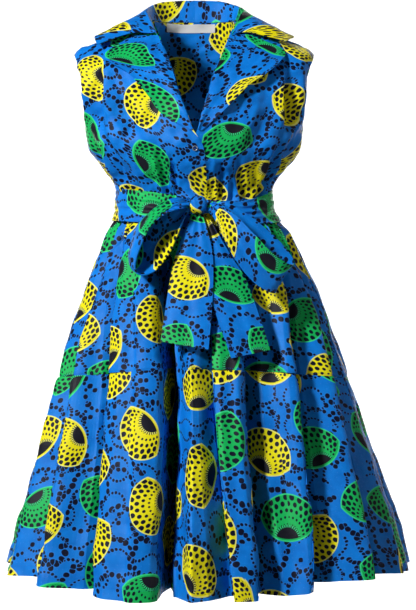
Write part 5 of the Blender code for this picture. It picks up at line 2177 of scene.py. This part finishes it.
@dataclass
class Studio:
    """The pale floor and backdrop, the lights and the camera."""

    camera_at: tuple[float, float, float] = (0.0257, -3.0, -0.532)
    lens: float = 93.13
    sensor: float = 36.0
    floor_height: float = -2.35
    radius: float = 7.5
    bend: float = 1.6
    wall_height: float = 7.5
    turns: int = 64
    corner_step: int = 9
    ambient: Colour = (0.95, 0.97, 1.0, 1.0)
    ambient_strength: float = 0.02

    def backdrop(self, paper: bpy.types.Material) -> None:
        """Makes the round floor, which curves up into a wall on all sides.

        Args:
            paper: The paper's material.
        """
        made = bmesh.new()
        corner = [math.radians(turn) for turn in range(0, 91, self.corner_step)]
        inner = self.radius - self.bend
        profile = [(0.0, 0.0)]
        for turn in corner:
            profile.append((inner + self.bend * math.sin(turn), self.bend * (1.0 - math.cos(turn))))
        profile.append((self.radius, self.wall_height))
        points = [made.verts.new((radius, 0.0, self.floor_height + height)) for radius, height in profile]
        line = points + [made.edges.new(pair) for pair in zip(points, points[1:])]
        spin = {"cent": (0.0,) * 3, "axis": (0.0, 0.0, 1.0), "angle": FULL_TURN, "steps": self.turns}
        bmesh.ops.spin(made, geom=line, use_merge=True, **spin)
        bmesh.ops.remove_doubles(made, verts=made.verts, dist=MERGE)
        bmesh.ops.recalc_face_normals(made, faces=made.faces)
        bmesh.ops.reverse_faces(made, faces=made.faces)
        for face in made.faces:
            face.smooth = True
        mesh = bpy.data.meshes.new("studio_floor")
        made.to_mesh(mesh)
        made.free()
        mesh.materials.append(paper)
        floor = bpy.data.objects.new("studio_floor", mesh)
        bpy.context.scene.collection.objects.link(floor)

    def light(self, lamp: Lamp) -> None:
        """Adds one soft square light.

        Args:
            lamp: Its sizes.
        """
        made = bpy.data.lights.new(lamp.name, "AREA")
        made.size, made.energy = lamp.size, lamp.power
        obj = bpy.data.objects.new(lamp.name, made)
        obj.location = lamp.at
        obj.rotation_euler = (Vector(lamp.towards) - Vector(lamp.at)).to_track_quat("-Z", "Y").to_euler()
        bpy.context.scene.collection.objects.link(obj)

    def camera(self) -> None:
        """Adds the camera at the photograph's angle."""
        lens = bpy.data.cameras.new("camera")
        lens.lens, lens.sensor_width, lens.sensor_fit = self.lens, self.sensor, "AUTO"
        obj = bpy.data.objects.new("camera", lens)
        obj.location = self.camera_at
        obj.rotation_euler = (math.pi / 2, 0.0, 0.0)
        bpy.context.scene.collection.objects.link(obj)
        bpy.context.scene.camera = obj

    def build(self) -> None:
        """Makes the studio."""
        self.camera()
        self.backdrop(StudioPaper().material())
        for lamp in LAMPS:
            self.light(lamp)
        world = bpy.data.worlds.new("studio")
        world.use_nodes = True
        sky = world.node_tree.nodes["Background"]
        sky.inputs["Color"].default_value = self.ambient
        sky.inputs["Strength"].default_value = self.ambient_strength
        bpy.context.scene.world = world
        bpy.context.scene.view_settings.view_transform = "Standard"


def write_size() -> None:
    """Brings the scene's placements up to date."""
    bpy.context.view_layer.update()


def main() -> None:
    """Builds the dress and the studio in order."""
    logging.basicConfig(level=logging.INFO, format="%(name)s: %(message)s")
    cotton = WaxPrint().material()
    torso = Torso()
    torso.build(cotton)
    collar = Collar(torso)
    collar.build(cotton)
    skirt = Skirt()
    skirt.build(cotton)
    sash = Sash(torso, skirt)
    sash.build(cotton)
    Trim(torso, torso.grids | collar.grids | skirt.grids | sash.grids).build(skirt)
    Studio().build()
    write_size()


if __name__ == "__main__":
    main()
